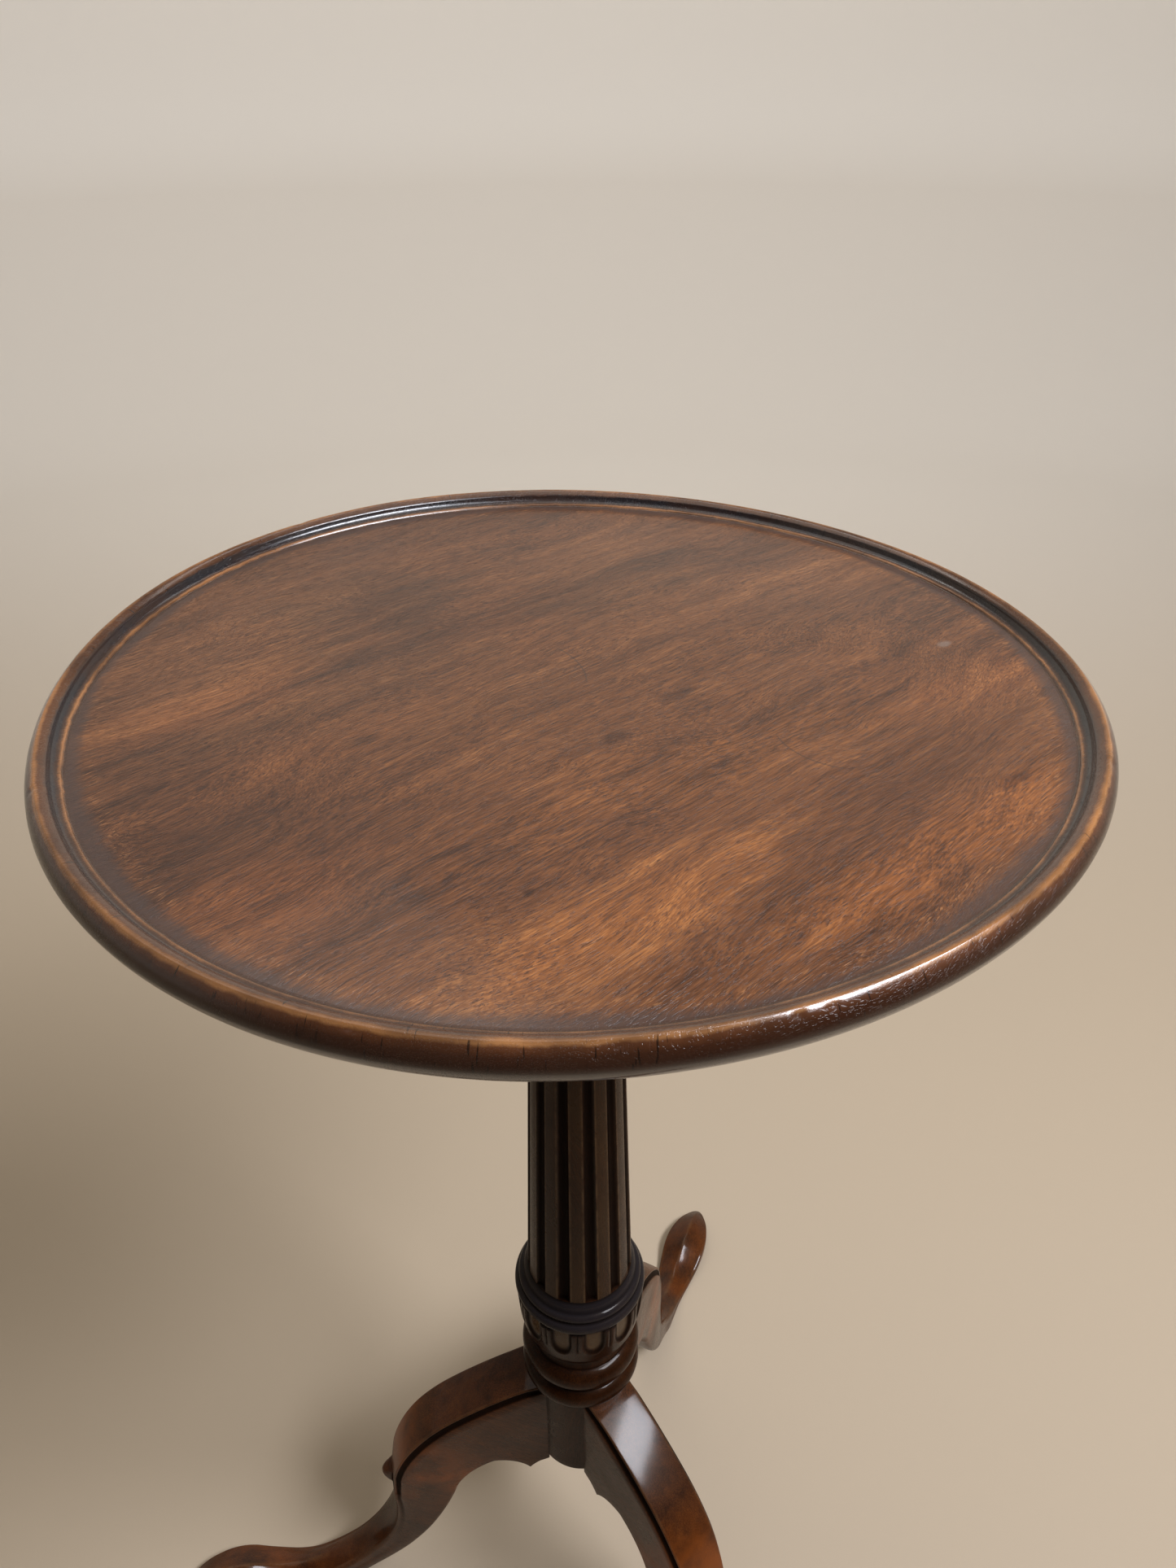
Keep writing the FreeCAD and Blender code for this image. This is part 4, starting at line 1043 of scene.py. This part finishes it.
def knob():
    """The turned brass pull of the catch, on its stem."""
    low, high, radius = KNOB_LOW.z / MM, KNOB_HIGH.z / MM, (KNOB_HIGH.x - KNOB_LOW.x) / 2 / MM
    stem = 1.7
    section = trace([
        (1.2, low, 4),
        (radius, low + 4.2, 4.6),
        (stem + 1.1, low + 8.3, -2.5),
        (stem, low + 10.2),
        (stem, high - 5.6),
        (stem + 1.2, high - 5.2),
        (stem + 1.2, high - 4.2, 0.8),
        (stem, high - 3.8),
        (stem, high),
    ], step=0.25)
    profile = np.array([(0, low - 0.15), *section, (0, high)]) * MM
    angles = np.arange(64) / 64 * 2 * math.pi
    made = lathe("catch_pull", profile, angles, lambda r, z, a: (r, z))
    middle = (KNOB_LOW + KNOB_HIGH) / 2
    made.data.transform(Matrix.Translation((middle.x, middle.y, 0)))
    return made


# --- floor, light and camera ------------------------------------------------------------------------


ROOM_RADIUS, ROOM_HEIGHT, ROOM_BEND = 3.4, 3.8, 0.9
FLOOR_COLOUR, WALL_COLOUR = (0.44, 0.355, 0.255), (0.78, 0.74, 0.68)
SHADE_COLOUR = (0.16, 0.13, 0.098)      # the darker end of the room, behind the camera


def studio_room():
    """A plain pale floor that curves up into a plain round wall."""
    corner = ROOM_RADIUS - ROOM_BEND
    section = trace([(0.4, 0), (corner, 0, ROOM_BEND), (ROOM_RADIUS, ROOM_BEND), (ROOM_RADIUS, ROOM_HEIGHT)],
                    step=0.08, line_step=0.6)
    turns = np.arange(96) / 96 * 2 * math.pi
    count = len(turns)
    points = [(r * math.cos(t), r * math.sin(t), z) for r, z in section for t in turns]
    faces = [tuple(range(count))] + [face[::-1] for face in tube_faces(len(section), count)]
    room = mesh_object("studio_room", points, faces)
    look = Look("pale_plaster")
    parts = look.parts(look.place)
    away = plan(0, 1, 0)
    depth = look.plus(look.times(parts[0], away.x), look.times(parts[1], away.y))
    wall = look.math("MAXIMUM", look.span(parts[2], 0.02, 0.7), look.span(depth, 0.5, 2.6, 0, 0.8))
    colour = look.mix(wall, FLOOR_COLOUR, WALL_COLOUR)
    colour = look.mix(look.span(depth, -2.4, -1.0, 1, 0), colour, SHADE_COLOUR)
    fine = look.noise(look.place, 900, 3, 0.6)
    roughness = look.span(fine, 0.3, 0.7, 0.7, 0.8)
    room.data.materials.append(look.finish(colour, roughness, look.bump(fine, 0.15, 0.0003)))


def area_light(name, place, target, size, watts, colour):
    lamp = bpy.data.lights.new(name, "AREA")
    lamp.shape = "RECTANGLE"
    lamp.size, lamp.size_y = size
    lamp.energy = watts
    lamp.color = colour
    made = bpy.data.objects.new(name, lamp)
    made.location = place
    made.rotation_euler = (Vector(target) - Vector(place)).to_track_quat("-Z", "Y").to_euler()
    made.visible_camera = False
    bpy.context.scene.collection.objects.link(made)


CAMERA_TURN = -37.2        # degrees: the way the camera looks, from +Y towards -X being positive
CAMERA_DISTANCE, CAMERA_HEIGHT = 0.4106, 0.9484
CAMERA_PITCH, CAMERA_YAW, CAMERA_ROLL = 34.128, 0.891, -0.296
CAMERA_LENS = 26.715


def plan(right, away, up):
    """A point given as seen by the camera: to the right, away from it, and up from the floor."""
    turn = math.radians(CAMERA_TURN)
    return Vector((right * math.cos(turn) - away * math.sin(turn),
                   right * math.sin(turn) + away * math.cos(turn), up))


def camera():
    pitch, yaw, roll = (math.radians(a) for a in (CAMERA_PITCH, CAMERA_YAW, CAMERA_ROLL))
    ahead = plan(math.sin(yaw) * math.cos(pitch), math.cos(yaw) * math.cos(pitch), -math.sin(pitch))
    level = plan(math.cos(yaw), -math.sin(yaw), 0)
    upright = level.cross(ahead)
    right = level * math.cos(roll) + upright * math.sin(roll)
    up = upright * math.cos(roll) - level * math.sin(roll)
    data = bpy.data.cameras.new("camera")
    data.lens = CAMERA_LENS
    made = bpy.data.objects.new("camera", data)
    turn = Matrix((right, up, -ahead)).transposed().to_4x4()
    made.matrix_world = Matrix.Translation(plan(0, -CAMERA_DISTANCE, CAMERA_HEIGHT)) @ turn
    bpy.context.scene.collection.objects.link(made)
    bpy.context.scene.camera = made


def studio():
    """Daylight from a window on the right, a soft ceiling light, and a little light from all round."""
    scene = bpy.context.scene
    scene.view_settings.view_transform = "Standard"
    world = bpy.data.worlds.new("studio")
    world.use_nodes = True
    background = world.node_tree.nodes["Background"]
    background.inputs["Color"].default_value = (1.0, 0.94, 0.86, 1)
    background.inputs["Strength"].default_value = 0.12
    scene.world = world
    middle = (0, 0, 0.45)
    area_light("window", plan(1.10, -0.52, 1.98), middle, (1.0, 0.46), 50, (0.90, 0.92, 1.0))
    area_light("skylight", plan(0.85, -0.45, 2.5), middle, (1.1, 0.7), 10, (0.92, 0.94, 1.0))
    area_light("ceiling", plan(-0.6, 0.6, 2.9), middle, (2.2, 2.2), 15, (1.0, 0.94, 0.86))
    area_light("backdrop", plan(0, 1.4, 2.5), plan(0, 3.3, 0.7), (2.4, 0.6), 26, (1.0, 0.98, 0.95))


# --- the table --------------------------------------------------------------------------------------


def dress(piece, material):
    piece.data.materials.clear()
    piece.data.materials.append(material)
    return piece


def place(piece, body, slot, *nodes):
    """Put a finished piece in the frame: the body it rides on, and the nodes it stands for; slot is not used.
    """
    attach(piece, body)
    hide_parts(*nodes)


# CAD node, its finer piece, and the body that it rides on
BRASS_PARTS = [
    ("catch_plate", "catch_back_plate", "top"),
    ("catch_case", "catch_housing", "top"),
    ("catch_bolt", "catch_latch", "catch"),
    ("keeper_plate", "keeper_strike", "base"),
]


def build():
    camera()
    studio()
    studio_room()

    place(dress(tabletop(), top_material()), "top", "mahogany_top", "tabletop")
    place(dress(pillar(), pillar_material()), "base", "mahogany_pillar", "column")
    for k, (name, angle) in enumerate(LEG_ANGLES.items()):
        leg = dress(carved_leg(name, angle), leg_material(name, angle, (0.3 * k, 0.17 * k + 0.1, 0.05 * k)))
        place(leg, "base", "mahogany_leg", name)

    block_wood = plain_wood("block_timber", BLOCK_PALETTE, (0, 0, 0), (0.5, 0.2, 0.1))
    bearer_wood = plain_wood("bearer_timber", BEARER_PALETTE, (0, 0, math.radians(90)), (0.1, 0.7, 0.3))
    brass = metal("old_brass", (0.55, 0.39, 0.18), (0.33, 0.22, 0.095), (0.075, 0.048, 0.024), 0.33, 0.7)
    iron = metal("forged_iron", (0.20, 0.19, 0.18), (0.10, 0.09, 0.085), (0.05, 0.026, 0.017), 0.5, 1.2, 0.85)
    steel = metal("spring_wire", (0.42, 0.41, 0.40), (0.24, 0.23, 0.22), (0.09, 0.06, 0.045), 0.32, 0.5)

    place(dress(eased("pivot_block", "hinge_block", 1.0 * MM, 3), block_wood), "base", "block_wood",
          "pivot_block")
    for side in ("right", "left"):
        place(dress(bearer("bearer_" + side, "cross_bearer_" + side), bearer_wood), "top", "bearer_wood",
              "bearer_" + side)
    for node, name, body in BRASS_PARTS:
        place(dress(eased(node, name, 0.12 * MM), brass), body, "brass", node)
    place(dress(knob(), brass), "catch", "brass", "catch_knob")
    place(dress(eased("spider_plate", "iron_spider", 0.5 * MM), iron), "base", "iron", "spider_plate")

    kept = {"pivot_pins": block_wood, "tenon_wedge": bearer_wood, "catch_spring": steel,
            "catch_screws": brass, "keeper_screws": brass, "bearer_screws": iron, "spider_screws": iron}
    for node, material in kept.items():
        dress(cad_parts[node], material)


build()
